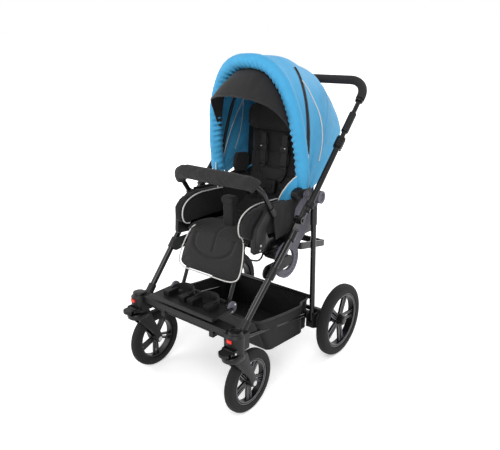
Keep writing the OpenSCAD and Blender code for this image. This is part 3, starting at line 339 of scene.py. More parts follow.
def mesh_piece(name, points, faces):
    """A piece from points and faces, selected and ready for the edit operators"""
    data = bpy.data.meshes.new(name)
    data.from_pydata([tuple(p) for p in points], [], faces)
    data.update()
    obj = bpy.data.objects.new(name, data)
    bpy.context.scene.collection.objects.link(obj)
    return activate(obj)


def edit(obj, select="SELECT"):
    activate(obj)
    bpy.ops.object.mode_set(mode="EDIT")
    bpy.ops.mesh.select_all(action=select)


def outward(obj):
    """Merges doubles and turns all faces outwards"""
    edit(obj)
    bpy.ops.mesh.remove_doubles(threshold=1e-6)
    bpy.ops.mesh.normals_make_consistent(inside=False)
    bpy.ops.object.mode_set(mode="OBJECT")
    return obj


def modify(obj, kind, **settings):
    """Adds a modifier with its settings and applies it"""
    activate(obj)
    made = obj.modifiers.new(kind.title(), kind)
    for key, value in settings.items():
        setattr(made, key, value)
    bpy.ops.object.modifier_apply(modifier=made.name)
    return obj


def smooth(obj, levels=1):
    return modify(obj, "SUBSURF", levels=levels, render_levels=levels)


def bevelled(obj, width, segments=2):
    return modify(obj, "BEVEL", width=width, segments=segments, limit_method="ANGLE",
                  angle_limit=math.radians(EDGE_ANGLE))


def settle(obj, place=None):
    """Puts a piece's place into its mesh and leaves the object at the origin"""
    activate(obj)
    if place is not None:
        obj.matrix_world = place @ obj.matrix_world
    bpy.ops.object.transform_apply(location=True, rotation=True, scale=True)
    return obj


def join(name, parts):
    """Joins pieces of one finish into one piece"""
    deselect()
    for part in parts:
        part.select_set(True)
    bpy.context.view_layer.objects.active = parts[0]
    bpy.ops.object.join()
    return fresh(name)


def finish(obj, body, slot, look, *nodes, angle=EDGE_ANGLE):
    """Gives a piece its finish, the body that it rides on and the CAD nodes that it stands for"""
    activate(obj)
    bpy.ops.object.shade_smooth_by_angle(angle=math.radians(angle))
    obj.data.materials.clear()
    obj.data.materials.append(look())
    if body:
        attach(obj, body)
    if nodes:
        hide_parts(*nodes)
    return obj


def mirrored(obj, name):
    """A copy of a piece on the other side of the buggy, with its own mesh"""
    activate(obj)
    bpy.ops.object.duplicate()
    copy = fresh(name)
    copy.matrix_world = Matrix.Scale(-1, 4, (1, 0, 0))
    bpy.ops.object.transform_apply(location=True, rotation=True, scale=True)
    return outward(copy)


def both_sides(obj, body, slot, look, *nodes, angle=EDGE_ANGLE):
    """Finishes a piece on the child's left and its mirror image on the right"""
    other = mirrored(obj, obj.name.replace("left", "right"))
    finish(obj, body, slot, look, *nodes, angle=angle)
    facing = [name.replace("left", "right") for name in nodes]
    finish(other, body.replace("left", "right"), slot, look, *facing, angle=angle)
    return obj, other


def tube(name, points, radius, cyclic=False, sides=8):
    """Round tube along points, as a mesh"""
    data = bpy.data.curves.new(name, "CURVE")
    data.dimensions = "3D"
    data.bevel_depth = radius
    data.bevel_resolution = max(0, sides // 4 - 1)
    data.use_fill_caps = not cyclic
    line = data.splines.new("POLY")
    line.points.add(len(points) - 1)
    for spot, p in zip(line.points, points):
        spot.co = (p[0], p[1], p[2], 1.0)
    line.use_cyclic_u = cyclic
    obj = bpy.data.objects.new(name, data)
    bpy.context.scene.collection.objects.link(obj)
    activate(obj)
    bpy.ops.object.convert(target="MESH")
    return outward(fresh(name))


def cylinder(name, radius, length, place, sides=32):
    """Cylinder about the Z axis of a place, centred there"""
    deselect()
    bpy.ops.mesh.primitive_cylinder_add(vertices=sides, radius=radius, depth=length)
    return settle(fresh(name), place)


def block(name, size, place, bevel=0.002, segments=2):
    """Block with rounded edges, centred at a place"""
    deselect()
    bpy.ops.mesh.primitive_cube_add(size=1)
    obj = fresh(name)
    obj.scale = size
    settle(obj)
    bevelled(obj, bevel, segments)
    return settle(obj, place)


def prism(name, outline, depth, place, bevel=0.0, segments=2):
    """Flat outline drawn up along Z from a place, with rounded edges"""
    obj = mesh_piece(name, [(x, y, 0.0) for x, y in outline], [list(range(len(outline)))])
    edit(obj)
    bpy.ops.mesh.extrude_region_move(TRANSFORM_OT_translate={"value": (0, 0, depth)})
    bpy.ops.object.mode_set(mode="OBJECT")
    outward(obj)
    if bevel:
        bevelled(obj, bevel, segments)
    return settle(obj, place)


def basis(origin, x_axis, y_axis):
    """Place whose axes are given: Z is square to both"""
    x = Vector(x_axis).normalized()
    z = x.cross(Vector(y_axis)).normalized()
    y = z.cross(x)
    turned = Matrix((x, y, z)).transposed().to_4x4()
    return Matrix.Translation(Vector(origin)) @ turned


def along(axis_from, axis_to):
    """Place at the middle of a line, with Z along it"""
    start = Vector(axis_from)
    run = Vector(axis_to) - start
    turned = run.to_track_quat("Z", "Y").to_matrix().to_4x4()
    return Matrix.Translation(start + run / 2) @ turned


def pivot(name):
    return Vector(JOINTS[name]["pos_m"])


def axis(name):
    return Vector(JOINTS[name]["axis"]).normalized()


def arc(cx, cy, r, start, end, steps):
    """Points of an arc, angles in degrees"""
    angles = [math.radians(start + (end - start) * i / steps) for i in range(steps + 1)]
    return [(cx + r * math.cos(a), cy + r * math.sin(a)) for a in angles]


def rounded_box(w, d, r, steps=8):
    """Outline of a rectangle with round corners, about the origin"""
    x = w / 2 - r
    y = d / 2 - r
    return (arc(x, y, r, 0, 90, steps) + arc(-x, y, r, 90, 180, steps)
            + arc(-x, -y, r, 180, 270, steps) + arc(x, -y, r, 270, 360, steps))


def head(name, radius, length, place, bevel, sides=32, segments=2):
    """Cylinder with rounded edges, for a bolt head, a screw or a cap"""
    return bevelled(cylinder(name, radius, length, place, sides), bevel, segments)


def span(a, b, t):
    """Value at a share of the way from a to b"""
    return a + (b - a) * t


def ripple(x, y, seed):
    """Smooth noise from -1 to 1 that is the same on every run"""
    return noise.noise(Vector((x, y, seed * 7.31)))


def ease(t):
    """Smooth step from 0 to 1"""
    t = min(1.0, max(0.0, t))
    return t * t * (3 - 2 * t)


def drawn_in(end):
    """Share of its full size that a soft form keeps, from 0 at its end to 1 away from it"""
    return 0.86 + 0.14 * end


def quads(rows, count, cyclic=False):
    """Faces between rows of points, each row open or closed on itself"""
    faces = []
    for j in range(rows):
        for i in range(count if cyclic else count - 1):
            k = (i + 1) % count
            faces.append((j * count + i, j * count + k, (j + 1) * count + k, (j + 1) * count + i))
    return faces


def cloth_grid(name, point, columns, rows, thick):
    """Sheet of cloth from a function of two numbers from 0 to 1, given a thickness"""
    spots = [point(i / columns, j / rows) for j in range(rows + 1) for i in range(columns + 1)]
    obj = mesh_piece(name, spots, quads(rows, columns + 1))
    return modify(obj, "SOLIDIFY", thickness=thick, offset=0.0)


def skin(name, rings, cap=None):
    """Surface through closed rings of points; cap closes the last ring onto one point"""
    count = len(rings[0])
    spots = [p for ring in rings for p in ring]
    faces = quads(len(rings) - 1, count, True)
    if cap is not None:
        base = len(spots) - count
        faces += [(base + i, base + (i + 1) % count, len(spots)) for i in range(count)]
        spots.append(cap)
    return outward(mesh_piece(name, spots, faces))


X = Vector((1, 0, 0))
Y = Vector((0, 1, 0))
Z = Vector((0, 0, 1))
SIDES = (("left", 1), ("right", -1))


# Stage

class BUGGY_OT_stage(bpy.types.Operator):
    """Camera at the photograph's angle, soft studio light and a pale floor"""

    bl_idname = "buggy.stage"
    bl_label = "Stage"

    camera_spot = (1.2468, -1.5253, 1.1929)
    camera_lens = 39.79
    camera_dip = 18.3
    camera_turn = 38.99
    lamp_aim = Vector((0, 0, 0.55))
    soft_boxes = (("key", (1.6, -2.6, 3.0), 2.2, 95), ("fill", (-2.8, -1.6, 2.0), 2.4, 42),
                  ("back", (0.8, 2.8, 2.6), 2.0, 48))

    def execute(self, context):
        camera = bpy.data.cameras.new("camera")
        camera.sensor_width = 36.0
        camera.lens = self.camera_lens
        eye = bpy.data.objects.new("camera", camera)
        eye.location = self.camera_spot
        eye.rotation_euler = (math.radians(90 - self.camera_dip), 0.0, math.radians(self.camera_turn))
        context.scene.collection.objects.link(eye)
        context.scene.camera = eye
        context.scene.view_settings.view_transform = "Standard"
        self.lamps(context)
        self.floor()
        self.world(context)
        return {"FINISHED"}

    def lamps(self, context):
        """Three soft boxes: above the front right, from the left and from behind"""
        for name, spot, size, power in self.soft_boxes:
            lamp = bpy.data.lights.new(name, "AREA")
            lamp.size = size
            lamp.energy = power
            obj = bpy.data.objects.new(name, lamp)
            obj.location = spot
            obj.rotation_euler = (self.lamp_aim - Vector(spot)).to_track_quat("-Z", "Y").to_euler()
            context.scene.collection.objects.link(obj)

    def floor(self):
        """Pale floor with a painted glow for the camera and for reflections, weak near the buggy and growing with
        the distance until the floor is white
        """
        deselect()
        bpy.ops.mesh.primitive_plane_add(size=40)
        obj = fresh("floor")
        look = bpy.data.materials.new("pale_floor")
        look.use_nodes = True
        tree = look.node_tree
        tree.nodes.clear()
        seen = seen_ray(tree)
        place = add(tree, "ShaderNodeTexCoord").outputs["Object"]
        away = add(tree, "ShaderNodeVectorMath", {0: place}, operation="LENGTH")
        # Painted light: the floor's glow grows with the distance, making up for lamps that fall off, so the far
        # floor turns white
        fade = add(tree, "ShaderNodeMapRange", {"Value": away.outputs["Value"]},
                   {"From Min": 0.5, "From Max": 2.2, "To Min": 0.40, "To Max": 1.0})
        strength = add(tree, "ShaderNodeMath", {0: seen, 1: fade.outputs["Result"]}, operation="MULTIPLY")
        glow = add(tree, "ShaderNodeEmission", {"Strength": strength.outputs["Value"]})
        dull = add(tree, "ShaderNodeBsdfDiffuse", inputs={"Color": linear("#F2F2F2")})
        both = add(tree, "ShaderNodeAddShader", {0: glow.outputs[0], 1: dull.outputs[0]})
        add(tree, "ShaderNodeOutputMaterial", {"Surface": both.outputs[0]})
        obj.data.materials.append(look)

    def world(self, context):
        """White surroundings, dimmer as a light than as a background"""
        world = bpy.data.worlds.new("studio")
        world.use_nodes = True
        tree = world.node_tree
        tree.nodes.clear()
        strength = add(tree, "ShaderNodeMapRange", {"Value": seen_ray(tree)},
                       {"To Min": 0.55, "To Max": 1.0})
        sky = add(tree, "ShaderNodeBackground", {"Strength": strength.outputs["Result"]},
                  {"Color": (1, 1, 1, 1)})
        add(tree, "ShaderNodeOutputWorld", {"Surface": sky.outputs[0]})
        context.scene.world = world


def seen_ray(tree):
    """Socket that is 1 on rays that show the background: camera, glossy and transmission"""
    ray = add(tree, "ShaderNodeLightPath").outputs
    first = add(tree, "ShaderNodeMath", {0: ray["Is Camera Ray"], 1: ray["Is Glossy Ray"]},
                operation="MAXIMUM")
    both = add(tree, "ShaderNodeMath", {0: first.outputs[0], 1: ray["Is Transmission Ray"]},
               operation="MAXIMUM")
    return both.outputs[0]


class BUGGY_OT_finishes(bpy.types.Operator):
    """Finishes of the construction's own pieces"""

    bl_idname = "buggy.finishes"
    bl_label = "Finishes"

    def execute(self, context):
        for name, obj in NODES.items():
            obj.data.materials.clear()
            obj.data.materials.append(SLOT_FINISH[SLOTS[name]]())
        return {"FINISHED"}


# Stuffed pads

CLOTH_FRAMES = 20
CLOTH_PRESSURE = 4.0
CLOTH_QUALITY = 4
CORNER_SHARE = 0.49
SEWN_FROM = 0.45
PIPING_INSET = 0.985


def bent(a, b, c, t):
    """Point of the curve from a to c that b draws towards itself"""
    return a * (1 - t) ** 2 + b * 2 * t * (1 - t) + c * t ** 2


def round_corners(points, radii, steps=7):
    """Outline through corner points, each rounded off by its own radius"""
    out = []
    count = len(points)
    for i, r in enumerate(radii):
        here = Vector(points[i])
        to_last = Vector(points[i - 1]) - here
        to_next = Vector(points[(i + 1) % count]) - here
        start = here + to_last.normalized() * min(r, to_last.length * CORNER_SHARE)
        end = here + to_next.normalized() * min(r, to_next.length * CORNER_SHARE)
        out += [tuple(bent(start, here, end, k / steps)) for k in range(steps + 1)]
    return out


def box_in(place, name, keep=lambda p: True):
    """Low and high corner of a node in the axes of a place, over the points that are kept"""
    inverse = place.inverted()
    spots = [p for p in (inverse @ v.co for v in NODES[name].data.vertices) if keep(p)]
    return (Vector([min(p[i] for p in spots) for i in range(3)]),
            Vector([max(p[i] for p in spots) for i in range(3)]))


def inflate(obj, cap, held_below):
    """Blows a pad up as cloth for a moment, holding what lies on its backing"""
    start = [v.co.copy() for v in obj.data.vertices]
    held = obj.vertex_groups.new(name="held")
    held.add([v.index for v in obj.data.vertices if v.co.z < held_below], 1.0, "REPLACE")
    cloth = obj.modifiers.new("Cloth", "CLOTH")
    cloth.settings.quality = CLOTH_QUALITY
    cloth.settings.use_pressure = True
    cloth.settings.uniform_pressure_force = CLOTH_PRESSURE
    cloth.settings.effector_weights.gravity = 0
    cloth.settings.vertex_group_mass = "held"
    cloth.point_cache.frame_end = CLOTH_FRAMES
    for step in range(1, CLOTH_FRAMES + 1):
        bpy.context.scene.frame_set(step)
    activate(obj)
    bpy.ops.object.modifier_apply(modifier=cloth.name)
    bpy.context.scene.frame_set(1)
    obj.vertex_groups.clear()
    for vertex, was in zip(obj.data.vertices, start):
        move = vertex.co - was
        if move.length > cap:
            vertex.co = was + move.normalized() * cap


def stuffed(name, outline, place, thick, swell, sewn=None, warp=None, held_below=0.002):
    """Pad drawn up from an outline, meshed evenly, inflated, sewn, smoothed and put in place"""
    obj = prism(name, outline, thick, Matrix())
    modify(obj, "REMESH", mode="VOXEL", voxel_size=sizes().voxel)
    inflate(obj, swell, held_below)
    smooth(obj)
    for vertex in obj.data.vertices:
        if sewn and vertex.co.z > thick * SEWN_FROM:
            vertex.co.z -= sewn(vertex.co.x, vertex.co.y)
        if warp:
            vertex.co = warp(vertex.co)
    return settle(obj, place)


def groove(distance, depth, width):
    """Depth of a sewn line at a distance from it"""
    return depth * math.exp(-(distance / width) ** 2)


def piping(name, path, body):
    """Silver piping sewn along a path"""
    obj = tube(name, path, sizes().piping / 2)
    return finish(obj, body, "black_cloth", silver_reflective_piping, angle=SOFT_ANGLE)


def pad(obj, body, *nodes, fill, look=woven_black_polyester):
    """Finishes a stuffed pad; the share of it that is filled is not used"""
    finish(obj, body, "black_cloth", look, *nodes, angle=SOFT_ANGLE)
    return obj


class BUGGY_OT_seat_pads(bpy.types.Operator):
    """Seat cushion, thigh pads with their piping, and the pommel"""

    bl_idname = "buggy.seat_pads"
    bl_label = "Seat pads"

    thigh_corners = ((0.100, -0.050), (0.103, 0.022), (0.030, 0.057), (-0.140, 0.048), (-0.140, -0.052))
    thigh_radii = (0.035, 0.05, 0.06, 0.03, 0.02)
    thigh_piped_from = -0.12
    pommel_rise = 0.022

    def execute(self, context):
        self.cushion()
        self.thighs()
        self.pommel()
        return {"FINISHED"}

    def cushion(self):
        overhang = 0.016
        side_inset = 0.010
        end_inset = 0.008
        corner = 0.034
        seam_share = 0.22
        low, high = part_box("seat_cushion")
        mid = (low + high) / 2
        mid.y -= overhang / 2
        outline = rounded_box(high.x - low.x - side_inset, high.y - low.y - end_inset + overhang, corner)
        seam_y = (high.y - low.y) * seam_share

        def sewn(x, y):
            return groove(y - seam_y, depth=0.006, width=0.008) + groove(y + seam_y, depth=0.004,
                                                                         width=0.008)

        place = Matrix.Translation((mid.x, mid.y, low.z))
        obj = stuffed("seat_pad", outline, place, thick=0.022, swell=0.012, sewn=sewn)
        pad(obj, "seat", "seat_cushion", fill=0.6)

    def thighs(self):
        low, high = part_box("thigh_pads")
        inner = min(v.co.x for v in NODES["thigh_pads"].data.vertices if v.co.x > 0)
        thick = high.x - inner
        swell_room = 0.016
        piping_depth = 0.010
        forward = 0.024
        lower = 0.010
        mid = (low + high) / 2
        outline = round_corners(self.thigh_corners, self.thigh_radii)
        place = Matrix.Translation((high.x - 0.001, mid.y - forward, mid.z - lower)) @ basis((0, 0, 0),
                                                                                             -Y, Z)

        def sewn(x, y):
            return groove(y + 0.004, depth=0.003, width=0.006) if x < 0.02 else 0.0

        obj = stuffed("thigh_pad_left", outline, place, thick=thick - swell_room, swell=0.011, sewn=sewn)
        edge = [place @ Vector((x * PIPING_INSET, y * PIPING_INSET, thick - piping_depth))
                for x, y in outline if x > self.thigh_piped_from]
        line = piping("thigh_piping_left", edge, None)
        for part in (mirrored(obj, "thigh_pad_right"), obj):
            pad(part, "seat", "thigh_pads", fill=0.7, look=black_spacer_mesh)
        for part in (line, mirrored(line, "thigh_piping_right")):
            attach(part, "seat")

    def pommel(self):
        low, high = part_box("pommel")
        height = high.z - low.z + self.pommel_rise
        column = basis((0, high.y - 0.026, low.z + height / 2 - 0.002), X, Z)
        obj = stuffed("pommel_body", rounded_box(0.046, height, 0.014), column, thick=0.026, swell=0.006)
        pad(obj, "seat", "pommel", fill=0.8)
        top = basis((0, high.y - 0.020, low.z + height - 0.004), X, Z)
        cap = stuffed("pommel_cap", rounded_box(0.058, 0.028, 0.012), top, thick=0.036, swell=0.005)
        pad(cap, "seat", fill=0.8)


def leg_place():
    """Frame of the leg rest: Y up the legs to the hinge, Z to the front"""
    hinge = pivot("legrest_angle")
    return basis(hinge, X, hinge - pivot("footplate_flip"))


class BUGGY_OT_calf_pad(bpy.types.Operator):
    """Calf pad with its sewn channel and silver piping, and the flap over the knee"""

    bl_idname = "buggy.calf_pad"
    bl_label = "Calf pad"

    top = 0.016
    corner_radii = (0.044, 0.06, 0.058, 0.058, 0.06, 0.044)
    channel_half = 0.6
    channel_deep = 0.29
    channel_from = 0.66
    crease_x = 0.004

    def execute(self, context):
        low, high = box_in(leg_place(), "calf_pad")
        half = high.x
        foot = self.top - (high.y - low.y)
        length = self.top - foot
        right = [(half - 0.028, self.top), (half, foot + 0.06), (half - 0.008, foot)]
        outline = round_corners(right + [(-x, y) for x, y in reversed(right)], self.corner_radii)
        small = [(x * 0.975, (y - foot) * 0.97 + foot + 0.003) for x, y in outline]
        arch_y = foot + self.channel_from * length
        arch_x = half * self.channel_half

        def sewn(x, y):
            """U-shaped channel, with a raised lip outside it and a crease down the middle"""
            out = (math.hypot(x / arch_x, min(y - arch_y, 0) / (self.channel_deep * length)) - 1) * arch_x
            crease = abs(x - self.crease_x) if arch_y - 0.03 < y else 1.0
            return (groove(out, depth=0.006, width=0.007) + groove(crease, depth=0.006, width=0.004)
                    - groove(max(0.0, out) - 0.016, depth=0.0015, width=0.012))

        place = leg_place() @ Matrix.Translation((0, 0, low.z))
        obj = stuffed("calf_cushion", small, place, thick=0.013, swell=0.010, sewn=sewn)
        pad(obj, "legrest", "calf_pad", fill=0.6)
        edge = [place @ Vector((x * PIPING_INSET, (y - foot) * PIPING_INSET + foot + 0.001, 0.0165))
                for x, y in outline if y < self.top - 0.004]
        piping("calf_piping", edge, "legrest")
        self.knee(place, half)
        return {"FINISHED"}

    def knee(self, place, half):
        """Padded flap that runs from the seat cushion over the knee to the calf pad"""
        low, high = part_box("seat_cushion")
        back = Vector((0, low.y + 0.070, high.z - 0.010))
        front = place @ Vector((0, self.top - 0.030, 0.012))
        edge = Vector((0, pivot("legrest_angle").y + 0.004, high.z + 0.006))

        def point(u, v):
            across = 2 * u - 1
            wide = span(half * 0.90, half * 0.94, v)
            dent = groove(across * half - self.crease_x, depth=1.0, width=0.005)
            crown = 0.006 * (1 - abs(across) ** 4) - 0.004 * dent * v
            return bent(back, edge, front, v) + Vector((across * wide, -crown * v, crown))

        obj = cloth_grid("knee_flap", point, columns=60, rows=24, thick=0.010)
        pad(obj, None, fill=0.5)
        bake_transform(obj)


def back_place():
    """Frame of the backrest: Y up its slope from the hinge, Z towards the child"""
    return basis(pivot("backrest_recline"), X, axis("headrest_height"))


class BUGGY_OT_back_pads(bpy.types.Operator):
    """Back cushion, winged headrest and trunk supports"""

    bl_idname = "buggy.back_pads"
    bl_label = "Back pads"

    back_radii = (0.04, 0.1, 0.1, 0.04)
    back_seams = (-0.2, 0.02, 0.24)
    back_seam_x = 0.088
    head_radii = (0.04, 0.05, 0.03, 0.03, 0.05, 0.04)
    trunk_arm = (0.005, 0.024)

    def execute(self, context):
        self.back()
        self.headrest()
        self.trunk()
        return {"FINISHED"}

    def back(self):
        low, high = box_in(back_place(), "back_cushion")
        w = high.x - low.x
        h = high.y - low.y
        taper = 0.012
        corners = [(w / 2, -h / 2), (w / 2 - taper, h / 2), (taper - w / 2, h / 2), (-w / 2, -h / 2)]
        outline = round_corners([(x * 0.975, y * 0.98) for x, y in corners], self.back_radii)

        def sewn(x, y):
            lines = sum(groove(y - h * k, depth=0.005, width=0.007) for k in self.back_seams)
            return lines + groove(abs(x) - self.back_seam_x, depth=0.004, width=0.006)

        place = back_place() @ Matrix.Translation((0, (low.y + high.y) / 2, low.z))
        obj = stuffed("back_pad", outline, place, thick=0.018, swell=0.010, sewn=sewn)
        pad(obj, "backrest", "back_cushion", fill=0.55)

    def headrest(self):
        low, high = box_in(back_place(), "headrest")
        w = high.x - low.x
        h = high.y - low.y
        wing = high.z - low.z - 0.020
        right = [(w / 2, -h * 0.42), (w / 2, h * 0.30), (w * 0.3, h / 2)]
        corners = right + [(-x, y) for x, y in reversed(right)]
        outline = round_corners([(x * 0.97, y * 0.97) for x, y in corners], self.head_radii)

        def warp(p):
            u = min(1.0, abs(p.x) / (w / 2))
            return Vector((p.x, p.y, p.z + wing * u * u))

        def sewn(x, y):
            return groove(abs(x) - w * 0.27, depth=0.005, width=0.006)

        place = back_place() @ Matrix.Translation((0, (low.y + high.y) / 2, low.z))
        obj = stuffed("head_pad", outline, place, thick=0.013, swell=0.007, sewn=sewn, warp=warp)
        pad(obj, "headrest", "headrest", fill=0.6)

    def trunk(self):
        low, high = box_in(back_place(), "trunk_pads", lambda p: p.x > 0)
        mid_y = (low.y + high.y) / 2
        root = Vector((low.x + 0.020, mid_y, high.z - 0.032))
        place = back_place() @ Matrix.Translation(root) @ basis((0, 0, 0), Z, Y)
        obj = stuffed("trunk_pad_left", rounded_box(0.086, 0.080, 0.026), place, thick=0.012, swell=0.006)
        depth = high.z - 0.010 - low.z
        wide, tall = self.trunk_arm
        spot = Matrix.Translation((high.x - wide / 2, mid_y, low.z + depth / 2))
        arm = block("trunk_arm_left", (wide, tall, depth), back_place() @ spot)
        other = mirrored(obj, "trunk_pad_right")
        other_arm = mirrored(arm, "trunk_arm_right")
        for part in (obj, other):
            pad(part, "backrest", "trunk_pads", fill=0.7)
        for part in (arm, other_arm):
            finish(part, "backrest", "black_plastic", moulded_polypropylene)


# Canopy
# Angles are degrees: e is above the horizontal towards the front, t is across the arch from its middle

CANOPY = pivot("canopy_fold")
ARCH_POWER = 2.6
ROLL_E = 97.0
ZIP_E = 82.5
ZIP_FROM = 27.0
ZIP_TO = 87.0
SEAM_E = 62.0
REAR_E = 42.0
ARCH_END = 87.5
CORNER_DROP = 12.5
CORNER_T = 46.0
SIDE_SWEEP = 0.55
SWEEP_FROM = 60.0
ROLL_END = 88.6
ROLL_R = 0.026
ROLL_IN = 0.017
ROLL_IN_W = 0.005
CORNER_EASE = 24.0
HOOD_INSET = 0.002
BOW_SLACK = (0.006, 0.012, 0.010)
CORNER_CREASES = ((-0.9, 1.6), (-0.25, 2.0), (0.5, 1.8), (1.3, 2.4))
CREASE_DEPTH = 0.0042
CREASE_FADE = 16
CREASE_START = 3
CALM_FROM = 6
CALM_OVER = 12


def canopy_size():
    """Radius and half width of the canopy's outside"""
    spots = [v.co - CANOPY for v in NODES["canopy_hoop"].data.vertices]
    return max(math.hypot(p.y, p.z) for p in spots), max(p.x for p in spots) + 0.001


CANOPY_R, CANOPY_W = canopy_size()


def canopy_point(e, t, r, w):
    """Point at an angle above the horizontal, and at an angle across the canopy's arch"""
    s = math.radians(abs(t))
    a = math.radians(e)
    reach = r * math.cos(s) ** (2 / ARCH_POWER)
    x = math.copysign(w * math.sin(s) ** (2 / ARCH_POWER), t)
    return CANOPY + Vector((x, reach * math.cos(a), reach * math.sin(a)))


def rear_e(t):
    """Angle of the hood's rear edge, which sweeps forward and down to the hinges at the sides"""
    near = ease((abs(t) - CORNER_T + CORNER_EASE) / CORNER_EASE)
    sweep = SIDE_SWEEP * max(0.0, abs(t) - SWEEP_FROM)
    return REAR_E - CORNER_DROP * near - sweep


def hood_point(e, t, lift=0.0):
    """Point of the hood's cloth: tight over its bows, slack and creased between them"""
    bows = (ROLL_E, ZIP_E, SEAM_E, REAR_E - CORNER_DROP)
    slack = 0.0
    for first, second, depth in zip(bows, bows[1:], BOW_SLACK):
        if second <= e <= first:
            slack = depth * math.sin(math.pi * (e - second) / (first - second)) ** 2
    crease = 0.0022 * ripple(e * 0.16, t * 0.035, 1) + 0.0014 * ripple(e * 0.4, t * 0.06, 2)
    rise = max(0.0, e - REAR_E + CORNER_DROP)
    for slope, width in CORNER_CREASES:
        line = groove(abs(t) - CORNER_T - slope * rise, CREASE_DEPTH, width)
        crease += line * math.exp(-rise / CREASE_FADE) * min(1.0, rise / CREASE_START)
    calm = min(1.0, max(0.0, (ROLL_E - CALM_FROM - e) / CALM_OVER))
    scale = 1 - slack + (crease * calm + lift) / CANOPY_R
    return canopy_point(e, t, CANOPY_R * scale - HOOD_INSET, CANOPY_W * scale - HOOD_INSET)


def over_hood(e, t, lift, steps=40):
    """Line over the hood's cloth between two angles each way"""
    return [hood_point(span(*e, i / steps), span(*t, i / steps), lift) for i in range(steps + 1)]


def hang(obj, slot, look):
    """Finishes a piece of the hood, which gathers between the seat and the front hoop"""
    finish(obj, None, slot, look, angle=SOFT_ANGLE)
    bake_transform(obj)
    return obj


class BUGGY_OT_hood(bpy.types.Operator):
    """Blue hood with its seams, zip and inner bow, and the curtain behind it"""

    bl_idname = "buggy.hood"
    bl_label = "Hood"

    def execute(self, context):
        self.hood()
        self.seams()
        self.zip()
        self.curtain()
        return {"FINISHED"}

    def hood(self):
        def point(u, v):
            t = span(-ARCH_END, ARCH_END, u)
            return hood_point(span(rear_e(t), ROLL_E - 3, v), t)

        obj = cloth_grid("hood", point, columns=120, rows=60, thick=0.0016)
        hang(obj, "blue_cloth", woven_blue_polyester)
        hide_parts("canopy_hoop", "canopy_middle")

    def seams(self):
        """Piping down the sides, the seams seen inside the hood and the one over its rear"""
        cord = sizes().piping
        for side, sx in SIDES:
            line = over_hood((ZIP_E, 47), (sx * 38, sx * 78), lift=0.0015)
            hang(tube("hood_piping_" + side, line, cord / 2), "blue_cloth", silver_reflective_piping)
            inner = over_hood((66, 72), (sx * 10, sx * 84), lift=-0.003)
            hang(tube("hood_seam_" + side, inner, cord / 2.6), "blue_cloth", silver_reflective_piping)
        rear = over_hood((SEAM_E - 8, SEAM_E - 8), (-80, 80), lift=0.001, steps=80)
        hang(tube("hood_rear_seam", rear, cord / 3), "blue_cloth", woven_blue_polyester)

    def zip(self):
        """Zip down each side of the hood, and the webbing bow inside it"""
        def tape(u, v):
            t = span(ZIP_FROM, ZIP_TO, u)
            spread = span(-1.0, 1.0, v) / max(0.25, math.cos(math.radians(t)))
            return hood_point(ZIP_E + spread, t, 0.0016)

        strip = cloth_grid("zip_tape_left", tape, columns=60, rows=2, thick=0.0012)
        line = over_hood((ZIP_E, ZIP_E), (ZIP_FROM, ZIP_TO), lift=0.0032, steps=60)
        teeth = tube("zip_teeth_left", line, radius=0.0022)
        spot = hood_point(ZIP_E, 78, 0.0045)
        tag = round_corners([(-0.003, 0), (0.003, 0), (0.004, -0.016), (-0.004, -0.016)], [0.002] * 4,
                            steps=3)
        pull = prism("zip_pull_left", tag, depth=0.002, place=basis(spot, Y, Z), bevel=0.0005)
        looks = ((strip, "black_cloth", polyester_webbing),
                 (teeth, "black_plastic", moulded_polypropylene),
                 (pull, "axle_steel", zinc_plated_steel))
        for part, slot, look in looks:
            other = mirrored(part, part.name.replace("left", "right"))
            hang(part, slot, look)
            hang(other, slot, look)
        bow = over_hood((ZIP_E - 3, ZIP_E - 3), (-84, 84), lift=-0.010, steps=90)
        hang(tube("hood_bow", bow, radius=0.006), "black_cloth", polyester_webbing)

    def curtain(self):
        """Loose cloth from the hood's rear edge down to the top of the backrest"""
        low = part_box("canopy_back")[0]
        foot = [v.co for v in NODES["canopy_back"].data.vertices if v.co.z < low.z + 0.002]
        half = max(p.x for p in foot)
        foot_y = max(p.y for p in foot) - 0.002
        end_t = 80.0
        corner_y = 0.165
        corner_drop = 0.085
        belly = 0.012

        def point(u, v):
            t = span(-end_t, end_t, u)
            top = hood_point(rear_e(t), t)
            side = abs(2 * u - 1)
            base_y = span(foot_y, corner_y, side ** 4)
            base = Vector((span(-half, half, u), base_y, low.z - corner_drop * side ** 3))
            sag = math.sin(math.pi * v) * (1 - side ** 2)
            fold = 0.006 * v * math.sin(u * 34 + 1.5 * ripple(u * 5, v * 2, 3)) * (1 - side ** 4)
            back = belly * sag + fold * (1 - v * 0.4)
            return top.lerp(base, v) + Vector((0, back, 0.004 * ripple(u * 9, v * 3, 4)))

        obj = cloth_grid("hood_curtain", point, columns=110, rows=28, thick=0.0016)
        finish(obj, None, "blue_cloth", woven_blue_polyester, "canopy_back", angle=SOFT_ANGLE)
        hood_point(REAR_E, 0)
        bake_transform(obj)


